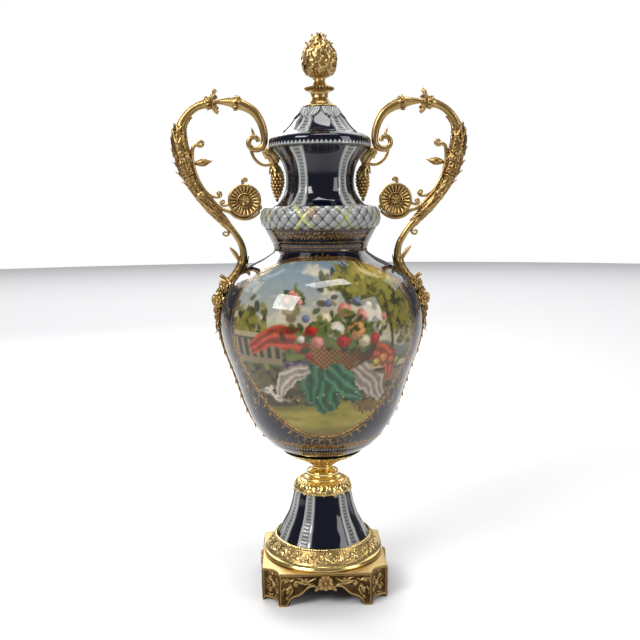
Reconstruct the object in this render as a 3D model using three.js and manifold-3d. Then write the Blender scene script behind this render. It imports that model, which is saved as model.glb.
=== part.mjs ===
// A tall porcelain mantel urn with gilt bronze mounts: a hollow cobalt and white vase with a
// waisted neck and a lift-off lid, two openwork scroll handles, a fluted bell foot and a
// square footed plinth.
// Millimetres, +Z up. The origin is on the floor, under the middle of the plinth. The front
// faces -Y and the handles stand in the plane y = 0.

import * as THREE from 'three';
import { mergeVertices } from 'three/addons/utils/BufferGeometryUtils.js';
import Module from 'manifold-3d';

const wasm = await Module();
wasm.setup();

// ---------- driving dimensions ----------

const gap = 0.3; // clearance between pieces that touch

const plinthHalfWidth = 101;
const plinthHeight = 54;
const plinthWall = 5;
const cornerRadius = 27; // hollow corners of the plinth
const footWidth = 12.5; // along each face of the plinth
const apronPeak = 32.6; // height of the opening under the apron
const apronRosetteRadius = 13.4;
const apronRosetteHeight = 39;

const ringOuterRadius = 100;
const ringTop = 85;

const footTop = 175;
const footRimRadius = 77;

const cupTop = 229;
const cupRadius = 65.5;

const bodyRadius = 164.5; // widest, at bodyWidestHeight
const bodyWidestHeight = 444;
const shoulderHeight = 555;
const collarTop = 593.4;
const collarRadius = 89;
const porcelainWall = 6;

const laurelRadius = 96; // of the ring at the foot of the neck
const laurelHeight = 36;
const laurelLeaves = 21;
const waistRadius = 52;
const neckTop = 720;
const neckTopRadius = 74.9;

const lidTop = 782.5;
const lidRimRadius = 81.3;
const lidRimHeight = 14;

const finialTop = 900;
const budRadius = 29.5;

const rosetteRadius = 26.8;

// Ribs: centre angles from the front (0) round to the back, in degrees.
const footRibs = [34, 71, 109, 146, -146, -109, -71, -34];
const neckRibs = [35, 88, 145, -145, -88, -35];
const lidRibs = [31, 90, 149, -149, -90, -31];
const footTurn = 7; // each porcelain piece stands slightly turned on its rod
const neckTurn = 3.5;
const lidTurn = 2;

// ---------- materials ----------

const cobalt = { color: 0x0b0d33, roughness: 0.12, metalness: 0 };
const gilt = { color: 0xb98a3c, roughness: 0.35, metalness: 1 };

// ---------- helpers ----------

const degrees = Math.PI / 180;
const frontward = new THREE.Vector3(0, -1, 0);

// A profile point: radius and height.
function at(radius, height) {
  return new THREE.Vector2(radius, height);
}

// A smooth stretch of profile through the given points.
function smooth(points, steps) {
  return new THREE.SplineCurve(points).getPoints(steps);
}

// Profile points that carry relief: a function of the meridian that returns how far the
// point is moved outwards and upwards there. `angles` may give its meridians' own places.
function carved(points, relief, angles = null) {
  return points.map((point) => Object.assign(point.clone(), { relief, angles }));
}

// Relief that stands out on every other meridian, and on the ones between in the next row.
function checkered(row, height) {
  return (meridian) => [(meridian + row) % 2 ? height : 0, 0];
}

// The inner side of a wall: the stretch moved inwards by the wall, from its end to its start.
function innerSide(points, wall, steps) {
  const spline = new THREE.SplineCurve(points);
  const side = [];
  for (let i = steps; i >= 0; i--) {
    const point = spline.getPoint(i / steps);
    const tangent = spline.getTangent(i / steps);
    side.push(at(point.x - wall * tangent.y, point.y + wall * tangent.x));
  }
  return side;
}

// A body of revolution about Z. Its profile runs up the outside and down the inside, and its
// meridians start at the front (-Y) and go round towards +X.
function turned(profile, meridians) {
  const geometry = new THREE.LatheGeometry(profile, meridians).rotateX(Math.PI / 2);
  const position = geometry.attributes.position;
  for (let i = 0; i <= meridians; i++) {
    const meridian = i % meridians;
    profile.forEach(({ x, y, relief, angles }, row) => {
      const [out, up] = relief ? relief(meridian) : [0, 0];
      const angle = angles ? angles[meridian] : meridian / meridians * 2 * Math.PI;
      position.setXYZ(i * profile.length + row,
        (x + out) * Math.sin(angle), -(x + out) * Math.cos(angle), y + up);
    });
  }
  return geometry;
}

// Welds a geometry into one closed mesh and drops the slivers at its poles.
function welded(geometry) {
  geometry.deleteAttribute('normal');
  geometry.deleteAttribute('uv');
  const merged = mergeVertices(geometry, 1e-4);
  const corners = merged.index.array;
  const kept = [];
  for (let i = 0; i < corners.length; i += 3) {
    const [a, b, c] = [corners[i], corners[i + 1], corners[i + 2]];
    if (a !== b && b !== c && c !== a) kept.push(a, b, c);
  }
  merged.setIndex(kept);
  return merged;
}

function solid(geometry) {
  const mesh = welded(geometry);
  return new wasm.Manifold(new wasm.Mesh({
    numProp: 3,
    vertProperties: new Float32Array(mesh.attributes.position.array),
    triVerts: new Uint32Array(mesh.index.array),
  }));
}

function geometryOf(manifold) {
  const mesh = manifold.getMesh();
  const geometry = new THREE.BufferGeometry();
  geometry.setAttribute('position', new THREE.BufferAttribute(mesh.vertProperties, 3));
  geometry.setIndex(new THREE.BufferAttribute(mesh.triVerts, 1));
  return geometry;
}

// Meridians for a ribbed piece: four across each rib (edge, top, top, edge) and `between`
// more across each panel. Returns their places and how far each one is raised, 0 or 1.
function ribLayout(ribs, turn, halfWidth, between) {
  const angles = [];
  const raised = [];
  ribs.forEach((rib, i) => {
    const next = ribs[(i + 1) % ribs.length];
    const span = (next - rib + 360) % 360 - 2 * halfWidth;
    for (const [share, height] of [[-1, 0], [-0.7, 1], [0.7, 1], [1, 0]]) {
      angles.push((rib + turn + share * halfWidth) * degrees);
      raised.push(height);
    }
    for (let k = 1; k <= between; k++) {
      angles.push((rib + turn + halfWidth + span * k / (between + 1)) * degrees);
      raised.push(0);
    }
  });
  return { angles, raised };
}

// A smooth curve through [distance from the axis, height] points in the plane y = 0.
function route(side, points) {
  const curve = new THREE.CatmullRomCurve3(points.map(([u, z]) => new THREE.Vector3(side * u, 0, z)));
  curve.arcLengthDivisions = 600;
  return curve;
}

// A turned bar bent along such a curve. The profile lists [share of the length, radius], and
// its stations stay at most `spacing` apart.
function bentBar(curve, profile, sides, spacing) {
  const stations = [at(0, profile[0][0])];
  profile.forEach(([share, radius], i) => {
    stations.push(at(radius, share));
    if (i + 1 === profile.length) return;
    const [nextShare, nextRadius] = profile[i + 1];
    const pieces = Math.ceil((nextShare - share) / spacing);
    for (let k = 1; k < pieces; k++) {
      const step = k / pieces;
      stations.push(at(radius + (nextRadius - radius) * step, share + (nextShare - share) * step));
    }
  });
  stations.push(at(0, profile[profile.length - 1][0]));
  const bar = turned(stations, sides);
  const position = bar.attributes.position;
  for (let i = 0; i < position.count; i++) {
    const centre = curve.getPointAt(position.getZ(i));
    const tangent = curve.getTangentAt(position.getZ(i));
    const across = position.getX(i);
    position.setXYZ(i, centre.x + tangent.z * across, position.getY(i), centre.z - tangent.x * across);
  }
  return bar;
}

// Points of a spiral about a centre: its radius shrinks by a fixed share each quarter turn.
function spiral([u, z], radius, fromAngle, quarters, shrink) {
  const points = [];
  for (let k = 0; k <= 2 * quarters; k++) {
    const angle = (fromAngle + 45 * k) * degrees;
    const reach = radius * Math.pow(shrink, k / 2);
    points.push([u + reach * Math.cos(angle), z + reach * Math.sin(angle)]);
  }
  return points;
}

// Points of an arc about a centre, in the same plane.
function arc([u, z], radius, fromAngle, toAngle, steps) {
  const points = [];
  for (let k = 0; k <= steps; k++) {
    const angle = (fromAngle + (toAngle - fromAngle) * k / steps) * degrees;
    points.push([u + radius * Math.cos(angle), z + radius * Math.sin(angle)]);
  }
  return points;
}

// Turns a geometry made along +Z to point along `direction` and sets its foot at `place`.
function aimed(geometry, place, direction) {
  const turn = new THREE.Quaternion().setFromUnitVectors(
    new THREE.Vector3(0, 0, 1), direction.clone().normalize());
  return geometry.applyQuaternion(turn).translate(place.x, place.y, place.z);
}

// A pointed leaf tip.
function tip(place, direction, width, length) {
  return aimed(turned([at(0, 0), at(width, 0), at(0, length)], 3), place, direction);
}

// A smooth egg with its foot at `place`.
function egg(place, direction, width, length) {
  const profile = [at(0, 0), at(width * 0.9, length * 0.25), at(width * 0.9, length * 0.65), at(0, length)];
  return aimed(turned(profile, 5), place, direction);
}

// An open flower: petals round a domed eye.
function flower(place, direction, radius, petals) {
  const pulledIn = (meridian) => [meridian % 2 ? -radius * 0.25 : 0, 0];
  const profile = [at(0, -radius * 0.5), ...carved([at(radius, radius * 0.2)], pulledIn),
    at(radius * 0.4, radius * 0.15), at(0, radius * 0.5)];
  return aimed(turned(profile, 2 * petals), place, direction);
}

// ---------- plinth and its leaf band ----------

// Plan of the plinth: a square with quarter-round hollow corners, moved inwards by `inset`.
function plinthPlan(inset) {
  const half = plinthHalfWidth;
  const radius = cornerRadius + inset;
  const swing = Math.asin(inset / radius);
  const plan = new THREE.Shape();
  [[half, half], [-half, half], [-half, -half], [half, -half]].forEach(([x, y], corner) => {
    const facing = corner * Math.PI / 2;
    plan.absarc(x, y, radius, facing - Math.PI / 2 - swing, facing - Math.PI + swing, true);
  });
  plan.closePath();
  return plan;
}

// The opening under the apron: from each foot it sweeps up in two steps to a peak beside the
// rosette.
function apronOpening() {
  const foot = plinthHalfWidth - cornerRadius - footWidth;
  const sweep = [at(foot, -1), at(foot - 2, 6), at(foot - 8, 14), at(foot * 0.68, 18),
    at(foot * 0.5, 27.5), at(foot * 0.3, apronPeak), at(foot * 0.13, 27)];
  const mirrored = sweep.map((point) => at(-point.x, point.y)).reverse();
  return new THREE.Shape([...sweep, ...mirrored]);
}

function plinth() {
  const block = new THREE.ExtrudeGeometry(plinthPlan(0),
    { depth: plinthHeight, bevelEnabled: false, curveSegments: 4 });
  const hollow = new THREE.ExtrudeGeometry(plinthPlan(plinthWall),
    { depth: plinthHeight - plinthWall + 1, bevelEnabled: false, curveSegments: 2 });
  const span = 2 * plinthHalfWidth + 20;
  const opening = new THREE.ExtrudeGeometry(apronOpening(), { depth: span, bevelEnabled: false });
  opening.translate(0, 0, -span / 2).rotateX(Math.PI / 2);
  let shell = solid(block).subtract(solid(hollow.translate(0, 0, -1)));
  shell = shell.subtract(solid(opening.clone())).subtract(solid(opening.rotateZ(Math.PI / 2)));
  for (let corner = 0; corner < 4; corner++) {
    const facing = (corner + 0.5) * Math.PI / 2;
    const reach = plinthHalfWidth * Math.SQRT2 - cornerRadius;
    const notch = new THREE.BoxGeometry(30, 20, 10).rotateZ(facing);
    notch.translate(reach * Math.cos(facing), reach * Math.sin(facing), 0);
    const place = new THREE.Vector3(0, -plinthHalfWidth, apronRosetteHeight);
    const rosette = flower(place, frontward, apronRosetteRadius, 5).rotateZ(corner * Math.PI / 2);
    shell = shell.subtract(solid(notch)).add(solid(rosette));
  }
  return geometryOf(shell);
}

function footRing() {
  const inner = 66;
  const foot = plinthHeight + gap;
  const leaf = checkered(0, 2.2);
  return turned([at(inner, foot), at(ringOuterRadius, foot), at(ringOuterRadius, foot + 4),
    at(ringOuterRadius - 5, foot + 8), ...carved([at(ringOuterRadius - 13, foot + 17)], leaf),
    at(ringOuterRadius - 20, ringTop - 1), at(footRimRadius + 1.5, ringTop),
    at(footRimRadius + 1.2, ringTop - 6), at(inner, ringTop - 6), at(inner, foot)], 24);
}

// ---------- foot, stem and cup ----------

const footOutline = [at(footRimRadius, 79.5), at(65, 102), at(56.5, 118), at(50, 138),
  at(45.5, 158), at(38, 173)];

function foot() {
  const { angles, raised } = ribLayout(footRibs, footTurn, 9.5, 1);
  const rib = (meridian) => [1.8 * raised[meridian], 0];
  const outer = smooth(footOutline, 5);
  return turned([
    ...carved([at(0, footTop - 7), ...innerSide(footOutline, porcelainWall, 3).slice(0, -1),
      at(footRimRadius - 8, 79.5), outer[0]], null, angles),
    ...carved(outer.slice(1, -1), rib, angles),
    ...carved([outer.at(-1), at(30, footTop), at(0, footTop)], null, angles),
  ], angles.length);
}

function stem() {
  const skirtLeaves = 9;
  const drooping = (meridian) => (meridian % 2 ? [0, 0] : [1.6, -4]);
  return turned([at(0, footTop + gap), at(36.5, footTop + gap), at(41.3, 170), at(47.6, 160),
    ...carved([at(49, 161)], drooping), at(44.5, 171), at(38, 178), at(31, 180), at(30, 184),
    at(25.2, 187), at(25.2, 192), at(18, 196), at(20, 204), at(0, 204)], 2 * skirtLeaves);
}

function bodyCup() {
  const petals = 12;
  const base = 204 + gap;
  return turned([at(0, base), at(21, base), at(26, 208), ...carved([at(38, 214)], checkered(0, 1.2)),
    ...carved([at(54, 221)], checkered(0, 1.6)), at(cupRadius, cupTop - 1), at(cupRadius - 3, cupTop),
    at(46, 220.7), at(30, 217), at(0, 217)], 2 * petals);
}

// ---------- body ----------

const bodyOutline = [at(62.3, cupTop + gap), at(76.5, 238), at(90, 248.6), at(112.5, 279),
  at(126.3, 310), at(142.5, 360), at(158.5, 406), at(bodyRadius, bodyWidestHeight), at(159, 482),
  at(143, 512), at(115, 534), at(90, 547), at(77.5, shoulderHeight)];
const collarOutline = [at(74.5, 560), at(77, 570), at(collarRadius, collarTop)];
const bodyMeridians = 26;
const bodySteps = 12;

// The outside of the vase, from the middle of its underside to the rim of its collar, grown
// outwards by `growth`.
function bodyProfile(growth) {
  const bottom = [at(29.5, 217 + gap), at(45.6, 221.3)];
  const outer = [...bottom, ...smooth(bodyOutline, bodySteps), ...collarOutline];
  return [at(0, 217 + gap), ...outer.map((point) => at(point.x + growth, point.y))];
}

function body() {
  const collarWall = 5;
  const closeToShoulder = 3; // the inner wall keeps every row here and every second row below
  const inner = innerSide(bodyOutline, porcelainWall, bodySteps).slice(0, -1)
    .filter((point, row) => row < closeToShoulder || row % 2 === 0);
  const inside = [at(collarRadius - collarWall, collarTop), at(74.5 - collarWall, 562),
    ...inner, at(40, 227), at(0, 225)];
  return turned([...bodyProfile(0), ...inside], bodyMeridians);
}

// Radius of the vase at a height.
function bodyRadiusAt(height) {
  const outline = smooth(bodyOutline, 60);
  const above = outline.findIndex((point) => point.y > height);
  const [low, high] = [outline[above - 1], outline[above]];
  return low.x + (high.x - low.x) * (height - low.y) / (high.y - low.y);
}

// ---------- neck and lid ----------

const neckOutline = [at(84, 624), at(69, 631), at(56, 648), at(waistRadius, 670), at(55.5, 692),
  at(63.5, 707), at(neckTopRadius, neckTop)];

// The neck's laurel ring has two meridians to each leaf, evenly spaced. Above it the same
// meridians move to the edges of the ribs.
function neck() {
  const base = collarTop + gap;
  const { angles, raised } = ribLayout(neckRibs, neckTurn, 9, laurelLeaves / 3 - 4);
  const evenly = angles.map((angle, i) => angles[0] + i * Math.PI / laurelLeaves);
  const core = 84;
  const rows = arc([core, base + laurelHeight / 2 - 1], laurelHeight / 2, -68, 62, 3);
  const laurel = rows.map(([u, z], row) => {
    const radius = core + (u - core) * (laurelRadius - core) / (laurelHeight / 2);
    return carved([at(radius, z)], checkered(row, 2.2), evenly)[0];
  });
  const rib = (meridian) => [2.2 * raised[meridian], 0];
  const outer = smooth(neckOutline, 6).slice(1);
  const wall = innerSide(neckOutline, 5, 6).slice(1);
  return turned([
    ...carved([at(78, base)], null, evenly),
    ...laurel,
    ...carved(outer.slice(0, -1), rib, angles),
    ...carved([outer.at(-1), at(neckTopRadius - 5, neckTop), ...wall], null, angles),
    ...carved([at(78, base)], null, evenly),
  ], angles.length);
}

const lidOutline = [at(61, 743), at(50, 752), at(40, 765), at(32, 776), at(28, lidTop - 1)];

function lid() {
  const base = neckTop + 2 * gap;
  const rim = base + lidRimHeight;
  const { angles, raised } = ribLayout(lidRibs, lidTurn, 9, 1);
  const rib = (meridian) => [1.8 * raised[meridian], 0];
  const leaf = (meridian) => [2, raised[meridian] ? -4 : 0];
  const cone = smooth(lidOutline, 4);
  return turned([
    ...carved([at(0, lidTop - 7), at(23, lidTop - 8), at(45, 747), at(66, rim + 1),
      at(neckTopRadius - 4, base), at(lidRimRadius, base), at(lidRimRadius - 0.7, rim),
      at(72, rim + 6)], null, angles),
    ...carved(cone.slice(0, 3), rib, angles),
    ...carved(cone.slice(3, 4), leaf, angles),
    ...carved([cone[4], at(0, lidTop)], null, angles),
  ], angles.length);
}

// ---------- finial ----------

function finial() {
  const base = lidTop + gap;
  const leaves = 7;
  const bud = smooth([at(12, 829), at(24, 838), at(budRadius, 854), at(22, 875), at(8, 892)], 6);
  const swirled = bud.map((point, row) => carved([point], checkered(row, -3))[0]);
  return turned([at(0, base), at(28, base), at(28, base + 3), at(20, base + 8), at(13.1, base + 18),
    at(14, base + 24), ...carved([at(24, base + 30)], checkered(0, -1.5)), at(13, base + 35),
    at(8.7, base + 42), ...swirled, at(0, finialTop)], 2 * leaves);
}

// ---------- handles ----------

const voluteCentre = [105, 731];
const voluteRadius = 17;
const rosetteCentre = [123.5, 639];

// The main scroll, from the eye of its volute over the top and down to the shoulder.
function scroll(side) {
  const volute = spiral(voluteCentre, voluteRadius, 180, 4, 0.78).reverse();
  const sweep = [[90, 752], [103, 776.5], [128, 790], [160, 793], [195, 785], [216, 764], [222, 738],
    [217, 705], [203, 664], [176, 628.5], [143, 593.5], [127, 566], [125.5, 541], [138, 516],
    [150, 505]];
  const curve = route(side, [...volute, ...sweep]);
  const eye = route(side, volute).getLength();
  const length = curve.getLength();
  // Radius of the bar at distances from where the volute begins.
  const stations = [[-eye, 2], [0, 5.3], [45, 7.4], [66, 8], [71, 11], [92, 3.8], [97, 3.8],
    [101, 7.5], [130, 7], [163, 8.5], [180, 11.5], [215, 12.5], [222, 10], [230, 12.5], [258, 11.5],
    [272, 8.5], [277, 10], [282, 8.6], [330, 8.4], [360, 6.6], [400, 6.2], [425, 6.4], [434, 9],
    [length - eye, 9]];
  const profile = stations.map(([distance, radius]) => [(distance + eye) / length, radius]);
  return bentBar(curve, profile, 6, 28 / length);
}

function rosette(side) {
  const petals = 8;
  const half = 4.5;
  const sunk = (meridian) => [0, meridian % 2 ? -1.8 : 0];
  const profile = [at(0, -half), at(rosetteRadius - 2, -half), at(rosetteRadius, 0),
    ...carved([at(rosetteRadius - 4, half)], sunk), at(12, half - 1.5), at(8, half + 1.5),
    at(0, half + 1.5)];
  const [u, z] = rosetteCentre;
  return aimed(turned(profile, 2 * petals), new THREE.Vector3(side * u, 0, z), frontward);
}

// A slender rod that thins towards its end.
function tendril(side, points, radius, spacing = 0.25) {
  return bentBar(route(side, points), [[0, radius], [0.6, radius], [1, radius * 0.5]], 4, spacing);
}

// A bunch of grapes: a hanging cone whose rows of berries stand out in turn.
function grapes(side) {
  const top = 676;
  const bottom = 638;
  const rows = 6;
  const profile = [at(0, bottom)];
  for (let row = 0; row < rows; row++) {
    const share = (row + 0.5) / rows;
    const radius = 1.5 + 7.8 * Math.sin(Math.PI * Math.pow(0.1 + 0.86 * share, 1.3));
    profile.push(carved([at(radius, bottom + (top - bottom) * share)], checkered(row, 1.6))[0]);
  }
  profile.push(at(0, top));
  return turned(profile, 8).translate(side * 69, 0, 0);
}

// The leafy stem that runs down the side of the vase, with its flowers above and a bead below.
function spray(side) {
  const stemPoints = [];
  for (let height = 500; height >= 252; height -= 31) {
    stemPoints.push([bodyRadiusAt(height) + 1, height]);
  }
  const curve = route(side, stemPoints);
  const end = curve.getPointAt(1);
  const parts = [bentBar(curve, [[0, 9], [0.15, 9], [0.3, 4], [1, 2]], 4, 0.1),
    egg(end.clone().setZ(end.z - 4), new THREE.Vector3(0, 0, 1), 4, 8)];
  const pairs = 3;
  for (let pair = 0; pair < pairs; pair++) {
    const share = 0.32 + 0.17 * pair;
    const along = curve.getTangentAt(share);
    for (const way of [-1, 1]) {
      const direction = new THREE.Vector3(along.x, way * 0.75, along.z);
      parts.push(tip(curve.getPointAt(share), direction, 4.5 - 0.4 * pair, 17 - 1.5 * pair));
    }
  }
  // Flowers: radius, height, how far it faces to the front in degrees, petals.
  for (const [radius, height, facing, petals] of [[13, 502, 20, 5], [12.5, 481, -15, 5],
    [9, 490, 80, 4], [9, 496, -80, 4], [8, 462, 10, 4]]) {
    const [outwards, forwards] = [Math.cos(facing * degrees), -Math.sin(facing * degrees)];
    const place = new THREE.Vector3(side * (bodyRadiusAt(height) + 6 * outwards), 8 * forwards, height);
    parts.push(flower(place, new THREE.Vector3(side * outwards, forwards, 0.2), radius, petals));
  }
  parts.push(tip(new THREE.Vector3(side * 164, 0, 442), new THREE.Vector3(side * 0.5, 0, -1), 3.5, 18));
  return parts;
}

// Everything that is cast on one handle: the scroll, its rosette and tendrils, the bracket
// to the neck with its leaf and grapes, and the spray on the side of the vase.
function handle(side) {
  const place = (u, z) => new THREE.Vector3(side * u, 0, z);
  const star = carved([at(17, 0)], (meridian) => [meridian % 2 ? -9 : 2, 0])[0];
  const thorns = [[[223, 748], [1, 0.7]], [[223, 722], [1, 0.6]], [[217, 690], [1, -0.5]],
    [[206, 672], [1, -0.8]], [[131, 791], [0.1, 1]], [[131, 791], [0.2, -1]],
    [[126, 553], [1, 0.5]]];
  const rosetteWrap = arc(rosetteCentre, rosetteRadius, 325, 215, 4);
  const shapes = [
    scroll(side),
    rosette(side),
    aimed(turned([at(0, -2.5), star, at(0, 2.5)], 12), place(163, 793), new THREE.Vector3(1, 0, 0)),
    // thin stem beside the bar, curled at its top and ending in a small volute
    tendril(side, [[188.5, 735], [193, 736.5], [198, 730], [200, 716], [200, 700], [198, 682],
      [192, 665], [180, 650], [166, 645], [158, 648], [159, 653]], 2.6, 0.12),
    // branch that carries the rosette
    tendril(side, [[184, 650], [167, 633], ...rosetteWrap, [99, 631], [103, 634]], 3, 0.12),
    tendril(side, [[126, 662], [127, 671], [123, 676], [119, 672]], 2),
    tendril(side, [[147, 636], [156, 631], [160, 637], [155, 643]], 2),
    tendril(side, [[163, 612], [156, 602], [149, 594], [150, 586], [156, 582], [160, 586]], 2.4),
    egg(place(201, 699), new THREE.Vector3(-side, 0, 0.1), 5.5, 20),
    // bracket, leaf and stalk of the grapes
    tendril(side, [[111, 722], [106, 707], [98, 698], [88, 694], [76, 696]], 2.4),
    egg(place(79.5, 690), new THREE.Vector3(side * 0.1, 0, 1), 8.5, 26),
    tip(place(80, 708), new THREE.Vector3(side, 0, 1), 3, 15),
    egg(place(70, 668), new THREE.Vector3(side * 0.42, 0, 1), 7, 30),
    grapes(side),
    ...thorns.map(([[u, z], [du, dz]]) => tip(place(u, z), new THREE.Vector3(side * du, 0, dz), 4.5, 16)),
    ...spray(side),
  ];
  const casting = shapes.map(solid).reduce((whole, next) => whole.add(next));
  return geometryOf(casting.subtract(vaseTool()));
}

// The vase as a tool that cuts the handles clear of it by the gap.
function vaseTool() {
  return solid(turned([...bodyProfile(gap), at(0, collarTop)], bodyMeridians));
}

// ---------- the urn ----------

function mesh(name, geometry, finish) {
  const part = new THREE.Mesh(geometry, new THREE.MeshStandardMaterial(finish));
  part.name = name;
  return part;
}

const urn = new THREE.Group();
urn.add(mesh('plinth', plinth(), gilt));
urn.add(mesh('foot_ring', welded(footRing()), gilt));
urn.add(mesh('foot', welded(foot()), cobalt));
urn.add(mesh('stem', welded(stem()), gilt));
urn.add(mesh('body_cup', welded(bodyCup()), gilt));
urn.add(mesh('body', welded(body()), cobalt));
urn.add(mesh('neck', welded(neck()), cobalt));
urn.add(mesh('lid', welded(lid()), cobalt));
urn.add(mesh('finial', welded(finial()), gilt));
urn.add(mesh('left_handle', handle(-1), gilt));
urn.add(mesh('right_handle', handle(1), gilt));

export default urn;
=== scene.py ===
import math

import bmesh
import bpy
import numpy as np
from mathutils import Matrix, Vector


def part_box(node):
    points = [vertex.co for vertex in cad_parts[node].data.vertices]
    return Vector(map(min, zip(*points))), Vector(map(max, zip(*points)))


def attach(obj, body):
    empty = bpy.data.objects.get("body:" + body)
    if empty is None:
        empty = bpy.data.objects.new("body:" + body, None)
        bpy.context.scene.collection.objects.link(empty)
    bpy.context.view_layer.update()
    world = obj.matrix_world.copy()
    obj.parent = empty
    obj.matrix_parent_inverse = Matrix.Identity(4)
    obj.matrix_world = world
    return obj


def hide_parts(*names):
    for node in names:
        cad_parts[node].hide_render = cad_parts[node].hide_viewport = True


# The looks of a tall porcelain mantel urn with gilt bronze mounts, built round its fixed frame.
# Shapes are worked out in millimetres, with the front facing -Y, and go into the meshes in metres.
# An angle is counted from the front towards +X, so a point at radius r stands at (r sin a, -r cos a).

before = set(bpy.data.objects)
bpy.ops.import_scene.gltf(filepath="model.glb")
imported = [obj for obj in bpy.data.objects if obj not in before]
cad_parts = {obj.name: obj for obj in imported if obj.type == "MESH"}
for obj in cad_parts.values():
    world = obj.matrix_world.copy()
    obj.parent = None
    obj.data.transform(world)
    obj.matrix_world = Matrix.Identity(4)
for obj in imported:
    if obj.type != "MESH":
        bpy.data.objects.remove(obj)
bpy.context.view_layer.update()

bl_info = {
    "name": "Porcelain Mantel Urn",
    "version": (1, 0, 0),
    "blender": (4, 5, 0),
    "location": "View3D > Sidebar > Urn",
    "description": "Builds a covered porcelain urn with gilt bronze mounts, piece by piece",
    "category": "Add Mesh",
}

MM = 0.001
TAU = 2 * math.pi


# ---------- curves ----------

def span(node):
    """Lowest and highest corner of a node, in millimetres."""
    low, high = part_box(node)
    return np.array(low) / MM, np.array(high) / MM


def chain(points, step, soften=0.0):
    """Even steps along a polyline. Its corners are rounded by a moving average of the given
    reach, with the line mirrored through its ends so that they stay in place."""
    points = np.asarray(points, float)
    lengths = np.concatenate([[0], np.cumsum(np.linalg.norm(np.diff(points, axis=0), axis=1))])
    count = max(3, int(round(lengths[-1] / step)) + 1)
    stations = np.linspace(0, lengths[-1], count)
    line = np.stack([np.interp(stations, lengths, column) for column in points.T], 1)
    reach = min(int(round(soften / step)), count - 2)
    if reach > 0:
        weights = np.hanning(2 * reach + 3)[1:-1]
        weights /= weights.sum()
        longer = np.vstack([2 * line[0] - line[reach:0:-1], line,
                            2 * line[-1] - line[-2:-reach - 2:-1]])
        line = np.stack([np.convolve(column, weights, "valid") for column in longer.T], 1)
    return line


def through(points, step):
    """Centripetal Catmull-Rom curve through the points, by Barry and Goldman's pyramid, at even steps."""
    p = np.asarray(points, float)
    p = np.vstack([2 * p[0] - p[1], p, 2 * p[-1] - p[-2]])
    knots = np.concatenate([[0], np.cumsum(np.linalg.norm(np.diff(p, axis=0), axis=1) ** 0.5)])

    def blend(a, b, low, high, t):
        return ((high - t) * a + (t - low) * b) / (high - low)

    stretches = []
    for k in range(len(p) - 3):
        k0, k1, k2, k3 = knots[k:k + 4]
        t = np.linspace(k1, k2, 24, endpoint=False)[:, None]
        a = blend(p[k], p[k + 1], k0, k1, t)
        b = blend(p[k + 1], p[k + 2], k1, k2, t)
        c = blend(p[k + 2], p[k + 3], k2, k3, t)
        stretches.append(blend(blend(a, b, k0, k2, t), blend(b, c, k1, k3, t), k1, k2, t))
    return chain(np.vstack([*stretches, p[-2:-1]]), step)


def spiral(centre, radius, start, turns, shrink, steps=16):
    """Spiral inwards about a centre in the x-z plane; its radius is times `shrink` every quarter."""
    quarter = np.linspace(0, 4 * abs(turns), int(steps * abs(turns)) + 2)
    angle = math.radians(start) + np.sign(turns) * quarter * math.pi / 2
    reach = radius * shrink ** quarter
    return np.stack([centre[0] + reach * np.cos(angle), centre[1] + reach * np.sin(angle)], 1)


def distance_along(path):
    """Length of the path up to each of its points."""
    return np.concatenate([[0], np.cumsum(np.linalg.norm(np.diff(path, axis=0), axis=1))])


def smoothstep(low, high, x):
    """Rises smoothly from 0 where the value is at the first edge to 1 where it is at the second."""
    t = np.clip((x - low) / (high - low), 0, 1)
    return t * t * (3 - 2 * t)


def window(low, high, edge, x):
    """1 between low and high, with soft edges, 0 outside."""
    return smoothstep(low - edge, low + edge, x) * (1 - smoothstep(high - edge, high + edge, x))


def noise(x, y, seed, octaves=3):
    """Value noise over the plane: random heights on a whole-number lattice, joined by smooth
    steps, with each further octave twice as fine and half as strong."""
    total = 0.0
    for octave in range(octaves):
        table = np.random.default_rng(seed + octave).random((64, 64))
        u, v = x * 2 ** octave, y * 2 ** octave
        i, j = np.floor(u).astype(int), np.floor(v).astype(int)
        s, t = smoothstep(0, 1, u - i), smoothstep(0, 1, v - j)
        i0, i1, j0, j1 = i % 64, (i + 1) % 64, j % 64, (j + 1) % 64
        low = table[i0, j0] * (1 - s) + table[i1, j0] * s
        high = table[i0, j1] * (1 - s) + table[i1, j1] * s
        total = total + (low * (1 - t) + high * t - 0.5) * 0.5 ** octave
    return total


# ---------- surfaces ----------

def turned(profile, angles, relief=0.0):
    """Surface of revolution: the profile's (r, z), moved out along its own normal by the relief,
    carried round the axis."""
    r, z = profile[:, 0], profile[:, 1]
    dr, dz = np.gradient(r), np.gradient(z)
    size = np.hypot(dr, dz) + 1e-9
    relief = np.broadcast_to(relief, (len(profile), len(angles)))
    radius = np.maximum(r[:, None] + relief * (dz / size)[:, None], 0)
    height = z[:, None] - relief * (dr / size)[:, None]
    return np.stack([radius * np.sin(angles), -radius * np.cos(angles), height], -1)


def round_angles(count, start=0.0):
    """Even angles once round, in radians."""
    return math.radians(start) + np.arange(count) * TAU / count


def frames(path, facing):
    """Unit tangent, side and face vectors along a path: the face is `facing` squared up to the
    tangent, and the side is face x tangent."""
    tangent = np.gradient(path, axis=0)
    tangent /= np.linalg.norm(tangent, axis=1)[:, None] + 1e-12
    facing = np.broadcast_to(np.asarray(facing, float), path.shape)
    face = facing - (facing * tangent).sum(1)[:, None] * tangent
    face /= np.linalg.norm(face, axis=1)[:, None] + 1e-12
    return tangent, np.cross(face, tangent), face


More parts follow.
